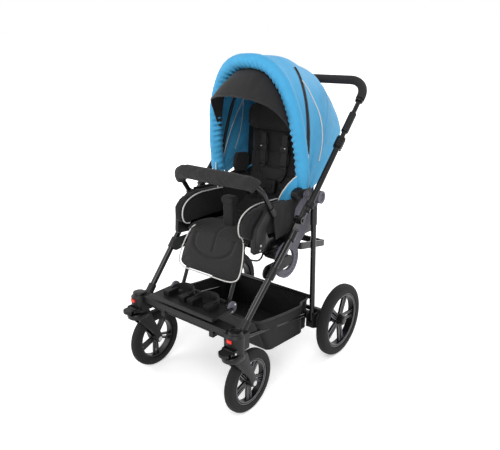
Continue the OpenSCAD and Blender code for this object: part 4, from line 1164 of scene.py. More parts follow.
class BUGGY_OT_canopy_roll(bpy.types.Operator):
    """Gathered padded roll along the canopy's front edge, and its end sockets"""

    bl_idname = "buggy.canopy_roll"
    bl_label = "Canopy roll"

    rings = 300
    sides = 20
    end_run = 0.03
    clamp_in = 0.022
    clamp_thick = 0.026
    clamp_corners = ((-0.058, -0.008), (0.010, -0.014), (0.012, 0.020), (-0.020, 0.030), (-0.058, 0.016))
    clamp_radii = (0.010, 0.012, 0.010, 0.010, 0.010)

    def execute(self, context):
        self.roll()
        self.clamps()
        return {"FINISHED"}

    def roll(self):
        """Padded tube along the arch, closed at both ends"""
        path_r = CANOPY_R - ROLL_IN
        path_w = CANOPY_W - ROLL_IN_W
        shares = [i / self.rings for i in range(self.rings + 1)]
        mids = [canopy_point(ROLL_E, span(-ROLL_END, ROLL_END, s), path_r, path_w) for s in shares]
        square = math.radians(ROLL_E + 90)
        normal = Vector((0, math.cos(square), math.sin(square)))
        total = sum((b - a).length for a, b in zip(mids, mids[1:]))
        spots = []
        run = 0.0
        for i, mid in enumerate(mids):
            before = mids[max(0, i - 1)]
            tangent = (mids[min(self.rings, i + 1)] - before).normalized()
            out = normal.cross(tangent)
            if out.dot(mid - CANOPY) < 0:
                out = -out
            if i:
                run += (mid - before).length
            for k in range(self.sides):
                a = 2 * math.pi * k / self.sides
                reach = self.reach(run, total, k, a)
                spots.append(mid + out * (reach * math.cos(a)) + normal * (reach * math.sin(a)))
        faces = quads(self.rings, self.sides, True)
        faces.append(tuple(range(self.sides)))
        faces.append(tuple(reversed(range(self.rings * self.sides, (self.rings + 1) * self.sides))))
        obj = outward(mesh_piece("front_roll", spots, faces))
        finish(obj, "canopy", "blue_cloth", woven_blue_polyester, "canopy_roll", angle=SOFT_ANGLE)

    def reach(self, run, total, k, a):
        """Radius of the gathered roll at a distance along it and an angle round it"""
        phase = run / total * sizes().gathers * 2 * math.pi
        end = min(1.0, run / self.end_run, (total - run) / self.end_run)
        inner = 0.5 - 0.5 * math.cos(a)
        wave = math.sin(phase + 3.6 * ripple(run * 9, k * 0.25, 5) + 0.9 * math.sin(a))
        tuck = 0.0006 + 0.0050 * inner * inner
        uneven = max(0.08, 0.42 + 0.9 * ripple(run * 8, a, 7))
        soft = 0.0020 * ripple(run * 18, a, 6)
        return (ROLL_R - 0.001) * drawn_in(end) + tuck * wave * uneven + soft

    def clamps(self):
        """End sockets of the roll, with a bolt each"""
        inner = CANOPY_W - self.clamp_in
        outer = inner + self.clamp_thick
        shape = round_corners(self.clamp_corners, self.clamp_radii)
        clamp = prism("roll_clamp_left", shape, self.clamp_thick, basis(CANOPY + X * inner, Y, Z),
                      bevel=0.003)
        spot = along(CANOPY + X * outer, CANOPY + X * (outer + 0.004))
        bolt = head("roll_bolt_left", radius=0.007, length=0.006, place=spot, bevel=0.001, sides=6)
        both_sides(clamp, "canopy", "black_plastic", moulded_polypropylene)
        both_sides(bolt, "canopy", "axle_steel", zinc_plated_steel)


class BUGGY_OT_visor(bpy.types.Operator):
    """Black sun visor that hangs inside the front roll"""

    bl_idname = "buggy.visor"
    bl_label = "Visor"

    def execute(self, context):
        top_r = CANOPY_R - ROLL_IN - ROLL_R
        top_w = CANOPY_W - ROLL_IN_W - ROLL_R
        end_t = 67.0
        brim_z = CANOPY.z + 0.334
        brim_y = CANOPY.y - 0.149
        brim_half = 0.172
        side_drop = 0.034
        corner_drop = 0.097
        corner_back = 0.124
        belly = 0.014

        def point(u, v):
            t = span(-end_t, end_t, u)
            top = canopy_point(ROLL_E, t, top_r - 0.001, top_w)
            side = abs(2 * u - 1)
            drop = side_drop * side ** 2 + corner_drop * side ** 8
            low = Vector((brim_half * (2 * u - 1), brim_y + corner_back * side ** 4, brim_z - drop))
            bulge = belly * math.sin(math.pi * v * 0.8) * (1 - side ** 3)
            crease = groove(u - 0.62 - 0.10 * v, depth=0.006, width=0.035) * math.sin(math.pi * v)
            crease += groove(u - 0.84 + 0.1 * v, depth=0.005, width=0.03) * v
            droop = 0.003 * ripple(u * 6, v * 3, 8)
            return top.lerp(low, v) + Vector((0, crease + droop - bulge, bulge * 0.7))

        obj = cloth_grid("visor", point, columns=90, rows=36, thick=0.003)
        finish(obj, "canopy", "black_cloth", woven_black_polyester, "canopy_visor", angle=SOFT_ANGLE)
        brim = tube("visor_binding", [point(i / 90, 1.0) for i in range(91)], radius=0.0035)
        finish(brim, "canopy", "black_cloth", polyester_webbing, angle=SOFT_ANGLE)
        for part in (obj, brim):
            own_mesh(part)
        return {"FINISHED"}


# Basket, safety bar cover, side panels and harness

class BUGGY_OT_basket(bpy.types.Operator):
    """Cloth basket that wraps the side rails, with a hemmed rim and a bar along its back"""

    bl_idname = "buggy.basket"
    bl_label = "Basket"

    rim_front = (-0.214, 0.289)
    rim_back = (0.137, 0.248)
    floor_front = (-0.143, 0.150)
    floor_back = (0.130, 0.127)
    rail_wrap = 0.0022
    bracket_gap = 0.001
    narrows_from = 0.045
    narrows_over = 0.04
    corner_round = 0.012
    corner_share = 0.06
    end_share = 0.05
    taper = 0.02
    rim_dip = 0.007
    crease_depth = 0.0028
    belly_depth = 0.003
    at_edge = 0.98

    def half_width(self, y):
        """Half width of the rim: outside the rails, and inside the axle brackets"""
        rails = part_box("basket_rails")[1].x + self.rail_wrap
        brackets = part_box("basket")[1].x - self.bracket_gap
        return span(rails, brackets, ease((y - self.narrows_from) / self.narrows_over))

    def plan(self, sides=26, ends=30):
        """Round the rim once, as shares across and along: the sides, the back and the front"""
        points = [(1.0, i / sides) for i in range(sides)]
        points += [(1.0 - 2 * i / ends, 1.0) for i in range(ends)]
        points += [(-1.0, 1 - i / sides) for i in range(sides)]
        points += [(2 * i / ends - 1.0, 0.0) for i in range(ends)]
        return points

    def wall(self, across, run, v):
        """Point of the wall, v from 0 at the rim to 1 at the floor"""
        rim_y = span(self.rim_front[0], self.rim_back[0], run)
        floor_y = span(self.floor_front[0], self.floor_back[0], run)
        round_off = self.corner_round * (1 - min(1.0, (1 - abs(across)) / self.corner_share)) ** 2
        end = min(1.0, min(run, 1 - run) / self.end_share)
        x = across * (self.half_width(rim_y) - round_off * (1 - end)) * (1 - self.taper * v)
        rim_z = span(self.rim_front[1], self.rim_back[1], run) - self.rim_dip * math.sin(math.pi * run)
        floor_z = span(self.floor_front[1], self.floor_back[1], run)
        crease = self.crease_depth * ripple(run * 9 + across * 2, v * 1.6, 11) * math.sin(math.pi * v)
        belly = self.belly_depth * math.sin(math.pi * v)
        side = math.copysign(1, across) if abs(across) > self.at_edge else 0
        back = (1 if run > self.at_edge else -1) if side == 0 else 0
        x += side * (crease - belly * 0.3)
        y = span(rim_y, floor_y, v) + back * (crease - belly)
        return Vector((x, y, span(rim_z, floor_z, v)))

    def execute(self, context):
        plan = self.plan()
        steps = 14
        floor_rings = 8
        floor_sag = 0.012
        bar_out = 0.004
        rings = [[self.wall(a, r, j / steps) for a, r in plan] for j in range(steps + 1)]
        mid = sum(rings[-1], Vector()) / len(plan)
        for k in range(1, floor_rings):
            t = k / floor_rings
            sag = floor_sag * math.sin(math.pi * t / 2)
            rings.append([p.lerp(mid, t) - Z * (sag + 0.003 * ripple(p.x * 9, p.y * 9 + k, 12))
                          for p in rings[steps]])
        obj = skin("basket_cloth", rings, mid - Z * floor_sag)
        modify(obj, "SOLIDIFY", thickness=0.0022, offset=-1.0)
        finish(obj, "chassis", "black_cloth", basket_nylon, "basket", angle=SOFT_ANGLE)
        hem = tube("basket_hem", [p + Z * 0.001 for p in rings[0]], radius=0.0042, cyclic=True)
        finish(hem, "chassis", "black_cloth", polyester_webbing, angle=SOFT_ANGLE)
        line = [p + Z * 0.004 for p in rings[steps]]
        seam = tube("basket_seam", line, radius=0.0022, cyclic=True, sides=6)
        finish(seam, "chassis", "black_cloth", polyester_webbing, angle=SOFT_ANGLE)
        reach = self.half_width(self.rim_back[0]) + bar_out
        y, z = self.rim_back
        ends = [(x, y + bar_out, z + bar_out) for x in (-reach, reach)]
        bar = tube("basket_back_bar", ends, radius=0.0085, sides=16)
        bevelled(bar, width=0.002)
        finish(bar, "chassis", "black_tube", powder_coated_tube)
        return {"FINISHED"}


class BUGGY_OT_bar_cover(bpy.types.Operator):
    """Loose padded cover on the safety bar, creased round its bends"""

    bl_idname = "buggy.bar_cover"
    bl_label = "Bar cover"

    bend = 0.052
    radius = 0.0225
    sides = 28
    slack_depth = 0.0032
    pinch_depth = 0.0013
    droop_depth = 0.0070

    def path(self):
        """Middle line of the bar from right to left, and the direction that it pulls out in"""
        up = axis("safety_bar_slide")
        side = X.cross(up).normalized()
        spots = [v.co for v in NODES["safety_bar"].data.vertices]
        near = min(p.dot(side) for p in spots)
        far = max(p.dot(side) for p in spots)
        rod = (far - near) / 2
        mid = up * (max(p.dot(up) for p in spots) - rod) + side * (near + far) / 2
        leg = max(p.x for p in spots) - rod
        bend = self.bend

        def corner(x, start, end, count):
            turns = [math.radians(span(start, end, i / (count - 1))) for i in range(count)]
            return [X * (x + bend * math.cos(a)) + up * (bend * math.sin(a) - bend) for a in turns]

        points = corner(bend - leg, 178, 90, 40)
        points += [X * span(bend - leg, leg - bend, i / 100) for i in range(1, 100)]
        points += corner(leg - bend, 90, 44, 28)
        return [p + mid for p in points], up

    def execute(self, context):
        mids, up = self.path()
        side = X.cross(up).normalized()
        rings = []
        last = len(mids) - 1
        for i, mid in enumerate(mids):
            run = (mids[min(last, i + 1)] - mids[max(0, i - 1)]).normalized()
            out = side.cross(run).normalized()
            end = min(1.0, i / 3, (last - i) / 3)
            ring = []
            s = i / last
            for k in range(self.sides):
                a = 2 * math.pi * k / self.sides
                c = math.cos(a)
                h = math.sin(a)
                slack = self.slack_depth * ripple(s * 11 + 0.8 * h, h + 1.4 * c, 21)
                pinch = self.pinch_depth * ripple(s * 30 + 1.5 * c, h * 1.2, 22)
                droop = self.droop_depth * max(0.0, -c) * math.sin(math.pi * s) ** 0.5
                reach = self.radius * drawn_in(end) + slack + pinch + droop
                ring.append(mid + out * (reach * c) + side * (reach * h))
            rings.append(ring)
        obj = skin("bar_sleeve", rings)
        edit(obj, "DESELECT")
        bpy.ops.mesh.select_non_manifold()
        bpy.ops.mesh.edge_face_add()
        bpy.ops.object.mode_set(mode="OBJECT")
        outward(obj)
        finish(obj, "safety_bar", "black_cloth", woven_black_polyester, "bar_cover", angle=SOFT_ANGLE)
        below = side.lerp(X.cross(side), 0.25).normalized() * (self.radius + 0.001)
        seam = [mid - below for mid in mids[4:last - 3]]
        line = tube("bar_seam", seam, radius=0.0016, sides=6)
        finish(line, "safety_bar", "black_cloth", polyester_webbing, angle=SOFT_ANGLE)
        return {"FINISHED"}


class BUGGY_OT_side_cloth(bpy.types.Operator):
    """Side panels and linings of the seat, and the blue wings in front of the canopy's hinges"""

    bl_idname = "buggy.side_cloth"
    bl_label = "Side cloth"

    panel_foot = (Vector((-0.074, 0.546)), Vector((0.060, 0.560)))
    panel_top = (Vector((-0.092, 0.676)), Vector((0.062, 0.670)))
    panel_bulge = 0.006
    wing = ((-0.082, 0.675), (-0.066, 0.697), (-0.044, 0.716), (-0.015, 0.734), (0.013, 0.745),
            (0.042, 0.752))
    wing_foot = 0.668
    wing_lean = 0.058
    lean_back = 1.37
    lean_down = 0.48

    def execute(self, context):
        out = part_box("side_panels")[1].x - 0.002

        def panel(u, v):
            p = span(span(*self.panel_foot, u), span(*self.panel_top, u), v)
            bulge = self.panel_bulge * math.sin(math.pi * u) * math.sin(math.pi * v)
            bulge += 0.0022 * ripple(u * 5, v * 3, 31)
            return Vector((out + bulge, p.x, p.y))

        def wing(u, v):
            spot = u * (len(self.wing) - 1)
            i = min(len(self.wing) - 2, int(spot))
            edge = Vector(self.wing[i]).lerp(Vector(self.wing[i + 1]), spot - i)
            base = Vector((span(self.wing[0][0], self.wing[-1][0], u), self.wing_foot))
            p = edge.lerp(base, v)
            lean = self.wing_lean * (1 - u)
            swell = 0.004 + 0.004 * (1 - v) + 0.002 * ripple(u * 4, v * 3, 32)
            return Vector((out + swell - lean, p.x + self.lean_back * lean, p.y - self.lean_down * lean))

        panel_obj = cloth_grid("side_panel_left", panel, columns=30, rows=24, thick=0.004)
        wing_obj = cloth_grid("wing_left", wing, columns=40, rows=20, thick=0.003)
        edge = tube("wing_piping_left", [wing(i / 40, 0) for i in range(41)], sizes().piping / 2.2)
        panels = both_sides(panel_obj, "seat", "black_cloth", woven_black_polyester, "side_panels",
                            angle=SOFT_ANGLE)
        wings = both_sides(wing_obj, "seat", "blue_cloth", woven_blue_polyester, angle=SOFT_ANGLE)
        for parts, flat, area in ((panels, (0.15, 0.13), 0.019), (wings, (0.11, 0.08), 0.0052)):
            for part in parts:
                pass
        both_sides(edge, "seat", "blue_cloth", silver_reflective_piping, angle=SOFT_ANGLE)
        self.lining()
        return {"FINISHED"}

    def lining(self):
        """Black cloth that closes the seat's corners, and the gap under the back cushion"""
        front_y = 0.030
        back_y = 0.205
        rail_x = 0.179
        shell_x = 0.152
        flap_x = 0.164
        foot_z = 0.548
        front_top = 0.684
        back_top = 0.725
        flap_from = 0.100
        flap_to = 0.192
        flap_z = 0.546
        flap_rise = 0.057

        def corner(u, v):
            slack = 0.003 * ripple(u * 4, v * 4, 33)
            return Vector((span(rail_x, shell_x, u * u) + slack, span(front_y, back_y, u),
                           span(foot_z, span(front_top, back_top, u), v)))

        def flap(u, v):
            return Vector((span(-flap_x, flap_x, u), span(flap_from, flap_to, v),
                           flap_z + flap_rise * v * v + 0.002 * ripple(u * 7, v * 2, 34)))

        left = cloth_grid("corner_lining_left", corner, columns=24, rows=18, thick=0.003)
        for part in (left, mirrored(left, "corner_lining_right")):
            finish(part, None, "black_cloth", woven_black_polyester, angle=SOFT_ANGLE)
            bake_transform(part)
        part = cloth_grid("back_flap", flap, columns=40, rows=10, thick=0.003)
        finish(part, None, "black_cloth", woven_black_polyester, angle=SOFT_ANGLE)
        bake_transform(part)


class BUGGY_OT_harness(bpy.types.Operator):
    """Harness: padded shoulder straps, butterfly chest pad, webbing and adjusters"""

    bl_idname = "buggy.harness"
    bl_label = "Harness"

    chest_y = 0.150
    shoulder_x = 0.050
    shoulder_y = 0.232
    wing_corners = ((-0.066, 0.036), (-0.030, 0.022), (0.030, 0.022), (0.066, 0.036), (0.060, -0.004),
                    (0.036, -0.036), (-0.036, -0.036), (-0.060, -0.004))
    wing_radii = (0.014, 0.016, 0.016, 0.014, 0.020, 0.014, 0.014, 0.020)
    binding_inset = 0.97

    def band(self, name, start, end, width, height):
        """Flat webbing between two points across and up the backrest, at a height off it"""
        a = Vector(start)
        b = Vector(end)
        run = (b - a).length
        shape = rounded_box(run, width, min(width, run) * 0.12, 3)
        turn = math.atan2(b.y - a.y, b.x - a.x)
        spot = (a + b) / 2
        turned = Matrix.Rotation(turn, 4, "Z")
        place = back_place() @ Matrix.Translation((spot.x, spot.y, height)) @ turned
        return prism(name, shape, depth=0.0022, place=place, bevel=0.0006, segments=1)

    def execute(self, context):
        face = box_in(back_place(), "harness")[0].z
        shoulder_x = self.shoulder_x
        outline = round_corners(self.wing_corners, self.wing_radii)

        def sewn(x, y):
            edge = abs(math.hypot(x / 0.050, y / 0.026) - 1) * 0.030
            return groove(edge, depth=0.0022, width=0.003)

        def stitched(x, y):
            return groove(abs(x) - 0.013, depth=0.0016, width=0.0025)

        spot = back_place() @ Matrix.Translation((0, self.chest_y, face + 0.002))
        chest = stuffed("chest_pad", outline, spot, thick=0.007, swell=0.004, sewn=sewn, held_below=0.001)
        pad(chest, "backrest", "harness", fill=0.6)
        inset = self.binding_inset
        rim = [back_place() @ Vector((x * inset, self.chest_y + y * inset, face + 0.0095))
               for x, y in outline]
        piped = tube("chest_binding", rim, radius=0.0016, cyclic=True)
        finish(piped, "backrest", "black_cloth", polyester_webbing, angle=SOFT_ANGLE)
        spot = back_place() @ Matrix.Translation((shoulder_x, self.shoulder_y, face + 0.003))
        shape = rounded_box(0.036, 0.118, 0.014)
        strap = stuffed("shoulder_pad_left", shape, spot, thick=0.007, swell=0.004, sewn=stitched,
                        held_below=0.001)
        for part in (strap, mirrored(strap, "shoulder_pad_right")):
            pad(part, "backrest", fill=0.6)
        runs = (("shoulder_web_left", (shoulder_x, 0.170), (shoulder_x, 0.300), 0.025, 0.012),
                ("waist_web_left", (0.024, 0.104), (0.126, 0.070), 0.025, 0.002),
                ("waist_pad_left", (0.050, 0.094), (0.104, 0.076), 0.034, 0.004))
        for name, a, b, width, height in runs:
            web = self.band(name, a, b, width, face + height)
            both_sides(web, "backrest", "black_cloth", polyester_webbing)
        for name, a, b in (("crotch_web", (0, 0.088), (0, 0.030)), ("chest_web", (0, 0.120), (0, 0.104))):
            web = self.band(name, a, b, 0.030, face + 0.002)
            finish(web, "backrest", "black_cloth", polyester_webbing)
        self.adjusters(face, shoulder_x)
        return {"FINISHED"}

    def adjusters(self, face, shoulder_x):
        """Strap adjusters on the shoulder pads, with a bright pin each"""
        for y, size in ((0.246, (0.038, 0.026, 0.007)), (0.186, (0.030, 0.014, 0.005))):
            spot = back_place() @ Matrix.Translation((shoulder_x, y, face + 0.015))
            bar = (size[0] * 0.62, 0.004, size[2] + 0.002)
            parts = (block("adjuster_%d_left" % round(y * 1000), size, spot, bevel=0.0024),
                     block("adjuster_bar_%d_left" % round(y * 1000), bar, spot, bevel=0.001))
            for part in parts:
                both_sides(part, "backrest", "black_plastic", moulded_polypropylene)
        pin_from = back_place() @ Vector((shoulder_x + 0.006, 0.250, face + 0.018))
        pin_to = back_place() @ Vector((shoulder_x + 0.006, 0.250, face + 0.021))
        pin = head("adjuster_pin_left", radius=0.0028, length=0.003, place=along(pin_from, pin_to),
                   bevel=0.0008, sides=16)
        both_sides(pin, "backrest", "axle_steel", zinc_plated_steel)


# Wheels, casters and the small hard parts

class BUGGY_OT_wheels(bpy.types.Operator):
    """Tyres with a shallow tread, painted highlights along the edges of the spokes and the rims, and hub caps"""

    bl_idname = "buggy.wheels"
    bl_label = "Wheels"

    groove_depth = 0.0011
    flute_share = 0.03
    groove_from = 0.08
    seat_share = 0.33
    tread_from = 0.86
    spokes = 5

    def execute(self, context):
        for kind, spoke_from, turn in (("front", 0.019, 0.0), ("rear", 0.023, 12.0)):
            hub = pivot(kind + "_wheel_left_spin")
            low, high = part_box(kind + "_tyre_left")
            radius = (high.z - low.z) / 2
            spots = [v.co - hub for v in NODES[kind + "_tyre_left"].data.vertices]
            bead = min(math.hypot(p.y, p.z) for p in spots)
            self.tyre(kind, hub, radius, bead, high.x - low.x)
            self.edges(kind, hub, bead, high.x - low.x, spoke_from, turn)
        return {"FINISHED"}

    def tyre(self, kind, hub, radius, bead, width):
        """Round-shouldered tyre with a flute along its middle and slanted grooves beside it"""
        steps = 22
        seat = width * self.seat_share
        inner = bead + 0.0004
        thick = radius - bead
        grooves = sizes().tread
        around = grooves * 5
        rings = []
        for i in range(around):
            a = 2 * math.pi * i / around
            ring = []
            for k in range(steps + 1):
                b = math.pi * k / steps
                x = -math.copysign(abs(math.cos(b)) ** 0.75, math.cos(b)) * width / 2
                high = math.sin(b) ** 0.62
                swing = 0.5 * abs(x) / width + (0.5 if x > 0 else 0.0)
                cut = max(0.0, math.cos(grooves * a + swing * 2 * math.pi)) ** 6
                cut *= min(1.0, abs(x) / (width * self.groove_from))
                tread = max(0.0, high - self.tread_from) / (1 - self.tread_from)
                flute = groove(x, depth=1.0, width=width * self.flute_share)
                r = bead + thick * high - self.groove_depth * tread * max(cut, flute)
                ring.append(hub + Vector((x * drawn_in(high), r * math.cos(a), r * math.sin(a))))
            for x in (seat, -seat):
                ring.append(hub + Vector((x, inner * math.cos(a), inner * math.sin(a))))
            rings.append(ring)
        obj = skin(kind + "_tread_left", rings + rings[:1])
        both_sides(obj, kind + "_wheel_left", "tyre_rubber", tyre_rubber, kind + "_tyre_left", angle=70)

    def edges(self, kind, hub, bead, width, spoke_from, turn):
        """Painted highlights: pale lines along the edges of the double spokes and round the rim"""
        wall = 0.009
        face = 0.0047
        half = 0.0035 if kind == "front" else 0.004
        gap = 0.009 if kind == "front" else 0.011
        end = bead - wall
        lines = []
        for i in range(self.spokes):
            for off in (-gap, gap):
                for edge in (-half, half):
                    ends = ((spoke_from, off * 0.7 + edge), (end, off + edge))
                    a = math.radians(360 / self.spokes * i + turn)
                    out = Vector((0, math.sin(a), -math.cos(a)))
                    across = Vector((0, math.cos(a), math.sin(a)))
                    points = [hub + X * face + out * r + across * s for r, s in ends]
                    lines.append(tube("edge", points, radius=0.0009, sides=6))
        for r, x in ((end, width * 0.32), (bead - 0.0015, width * 0.325)):
            turns = [2 * math.pi * k / 72 for k in range(72)]
            circle = [hub + Vector((x, r * math.cos(a), r * math.sin(a))) for a in turns]
            lines.append(tube("edge", circle, radius=0.0012, cyclic=True, sides=6))
        # These pale lines are painted highlights, standing where the glossy black spokes and rim catch the light
        edges = join(kind + "_edges_left", lines)
        both_sides(edges, kind + "_wheel_left", "wheel_plastic", painted_spoke_highlight, angle=60)
        if kind == "rear":
            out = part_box("rear_rim_left")[1].x
            spot = along((out - 0.006, hub.y, hub.z), (out + 0.001, hub.y, hub.z))
            cap = head("rear_cap_left", radius=0.0165, length=0.007, place=spot, bevel=0.003, segments=3)
            both_sides(cap, "rear_wheel_left", "wheel_plastic", satin_black_nylon)


class BUGGY_OT_casters(bpy.types.Operator):
    """Rounded fork shells with their overhanging crown, tongue covers, housing caps and screws"""

    bl_idname = "buggy.casters"
    bl_label = "Casters"

    leg_radii = (0.010, 0.014, 0.05, 0.010, 0.012, 0.010, 0.03, 0.04, 0.012)
    shell_thick = 0.0085
    crown_height = 0.025

    def execute(self, context):
        stem = pivot("caster_swivel_left")
        axle = pivot("front_wheel_left_spin")
        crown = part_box("caster_housing_left")[0].z - 0.0002
        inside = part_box("front_tyre_left")[1].x - stem.x + 0.0015
        ay, az = axle.y, axle.z
        cz = crown - self.crown_height
        leg = [(stem.y - 0.028, crown - 0.002), (stem.y + 0.026, crown - 0.002),
               (stem.y + 0.037, cz - 0.018), (ay + 0.016, az + 0.006), (ay + 0.004, az - 0.016),
               (ay - 0.012, az - 0.011), (ay - 0.024, az + 0.030), (stem.y - 0.010, cz - 0.028),
               (stem.y - 0.030, cz - 0.004)]
        outline = round_corners(leg, self.leg_radii, steps=5)
        thick = self.shell_thick
        for name, x in (("fork_out_left", stem.x + inside), ("fork_in_left", stem.x - inside - thick)):
            place = basis((x, 0, 0), Y, Z)
            shell = prism(name, outline, depth=thick, place=place, bevel=0.0032, segments=3)
            both_sides(shell, "caster_left", "black_plastic", satin_black_nylon)
        hood = rounded_box(0.066, 0.084, 0.032)
        spot = Matrix.Translation((stem.x, stem.y - 0.011, cz + 0.001))
        cover = prism("fork_crown_left", hood, depth=0.023, place=spot, bevel=0.007, segments=3)
        both_sides(cover, "caster_left", "black_plastic", satin_black_nylon)
        self.tongue()
        top = Matrix.Translation((stem.x, stem.y, stem_top()))
        cap = head("housing_cap_left", radius=0.0235, length=0.010, place=top, bevel=0.004, segments=3)
        both_sides(cap, "chassis", "black_plastic", satin_black_nylon)
        return {"FINISHED"}

    def tongue(self):
        """Rounded cover of the lever over a caster, and the screw of its hinge"""
        hinge = pivot("caster_lever_left_tip")
        low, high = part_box("caster_lever_left")
        reach = hinge.y - low.y
        half = (high.x - low.x) / 2 + 0.002
        tip = arc(0, half - reach - 0.002, half, 0, -180, 16)
        shape = [(half, -0.004), (half, 0.012 - reach), *tip, (-half, 0.012 - reach), (-half, -0.004)]
        spot = Matrix.Translation((hinge.x, hinge.y, hinge.z - 0.006))
        cover = prism("tongue_cover_left", shape, depth=0.0095, place=spot, bevel=0.0045, segments=4)
        both_sides(cover, "caster_lever_left", "black_plastic", satin_black_nylon)
        ear = hinge.x + half + 0.003
        spot = along((ear, hinge.y, hinge.z), (ear + 0.004, hinge.y, hinge.z))
        screw = head("tongue_screw_left", radius=0.0034, length=0.004, place=spot, bevel=0.001, sides=16)
        both_sides(screw, "chassis", "axle_steel", zinc_plated_steel)


def stem_top():
    """Height of the middle of the cap over a caster's housing"""
    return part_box("caster_button_left")[1].z + 0.016


def on_tube(s, x, lift=0.0):
    """Point beside the line of the handle tubes: s up the line, lift square to it towards the back"""
    run = axis("handle_height")
    back = X.cross(run)
    fold = pivot("handle_fold")
    return Vector((x, fold.y, fold.z)) + run * s - back * lift


class BUGGY_OT_handle(bpy.types.Operator):
    """Clamps, levers and toothed sliders of the handle, ribs of the fold barrels and the grip's collars"""

    bl_idname = "buggy.handle"
    bl_label = "Handle"

    clamp_s = (0.372, 0.376, 0.450, 0.456)
    grip_s = (0.508, 0.512, 0.520)
    lever_s = 0.395
    lever_corners = ((0, 0), (0.040, 0.004), (0.044, 0.012), (0.004, 0.010))
    lever_radii = (0.003, 0.004, 0.004, 0.003)
    teeth_s = 0.306
    tooth_pitch = 0.009
    ribs_s = -0.062
    rib_pitch = 0.006
    rib_radius = 0.0118

    def execute(self, context):
        front = X.cross(axis("handle_height"))
        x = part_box("push_bar")[1].x - 0.0085
        collar = tube("push_collar_left", [on_tube(s, x) for s in self.clamp_s], radius=0.0135, sides=20)
        bevelled(collar, width=0.002)
        both_sides(collar, "push_handle", "black_plastic", moulded_polypropylene)
        shape = round_corners(self.lever_corners, self.lever_radii, steps=4)
        place = self.plane(self.lever_s, x - 0.006, 0.012)
        lever = prism("push_lever_left", shape, depth=0.012, place=place, bevel=0.0015)
        both_sides(lever, "push_handle", "black_plastic", satin_black_nylon)
        places = [self.beside(self.teeth_s + self.tooth_pitch * i, x, 0.019) for i in range(5)]
        teeth = [block("tooth", (0.012, 0.005, 0.009), place, bevel=0.001) for place in places]
        both_sides(join("clamp_teeth_left", teeth), "handle", "black_plastic", moulded_polypropylene)
        foot = tube("grip_collar_left", [on_tube(s, x) for s in self.grip_s], radius=0.0150, sides=20)
        bevelled(foot, width=0.002)
        both_sides(foot, "push_handle", "black_plastic", satin_black_nylon)
        fold_x = pivot_x("front_tube_left")
        ribs = []
        for i in range(5):
            spot = on_tube(self.ribs_s + self.rib_pitch * i, fold_x)
            ring = [spot + X * across + front * out
                    for across, out in arc(0, 0, self.rib_radius, -86, 86, 16)]
            ribs.append(tube("rib", ring, radius=0.0014, sides=6))
        both_sides(join("fold_ribs_left", ribs), "chassis", "black_plastic", moulded_polypropylene)
        return {"FINISHED"}

    def plane(self, s, x, lift):
        """Place in the plane of the tube: X along it and Y away from it towards the back"""
        run = axis("handle_height")
        return basis(on_tube(s, x, lift), run, -X.cross(run))

    def beside(self, s, x, lift):
        """Place beside the tube's line: X across the buggy and Y along the tube"""
        run = axis("handle_height")
        return basis(on_tube(s, x, lift), X, run)


def pivot_x(node):
    """Middle of a node's upper end across the buggy"""
    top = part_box(node)[1].z
    xs = [v.co.x for v in NODES[node].data.vertices if v.co.z > top - 0.03]
    return (min(xs) + max(xs)) / 2


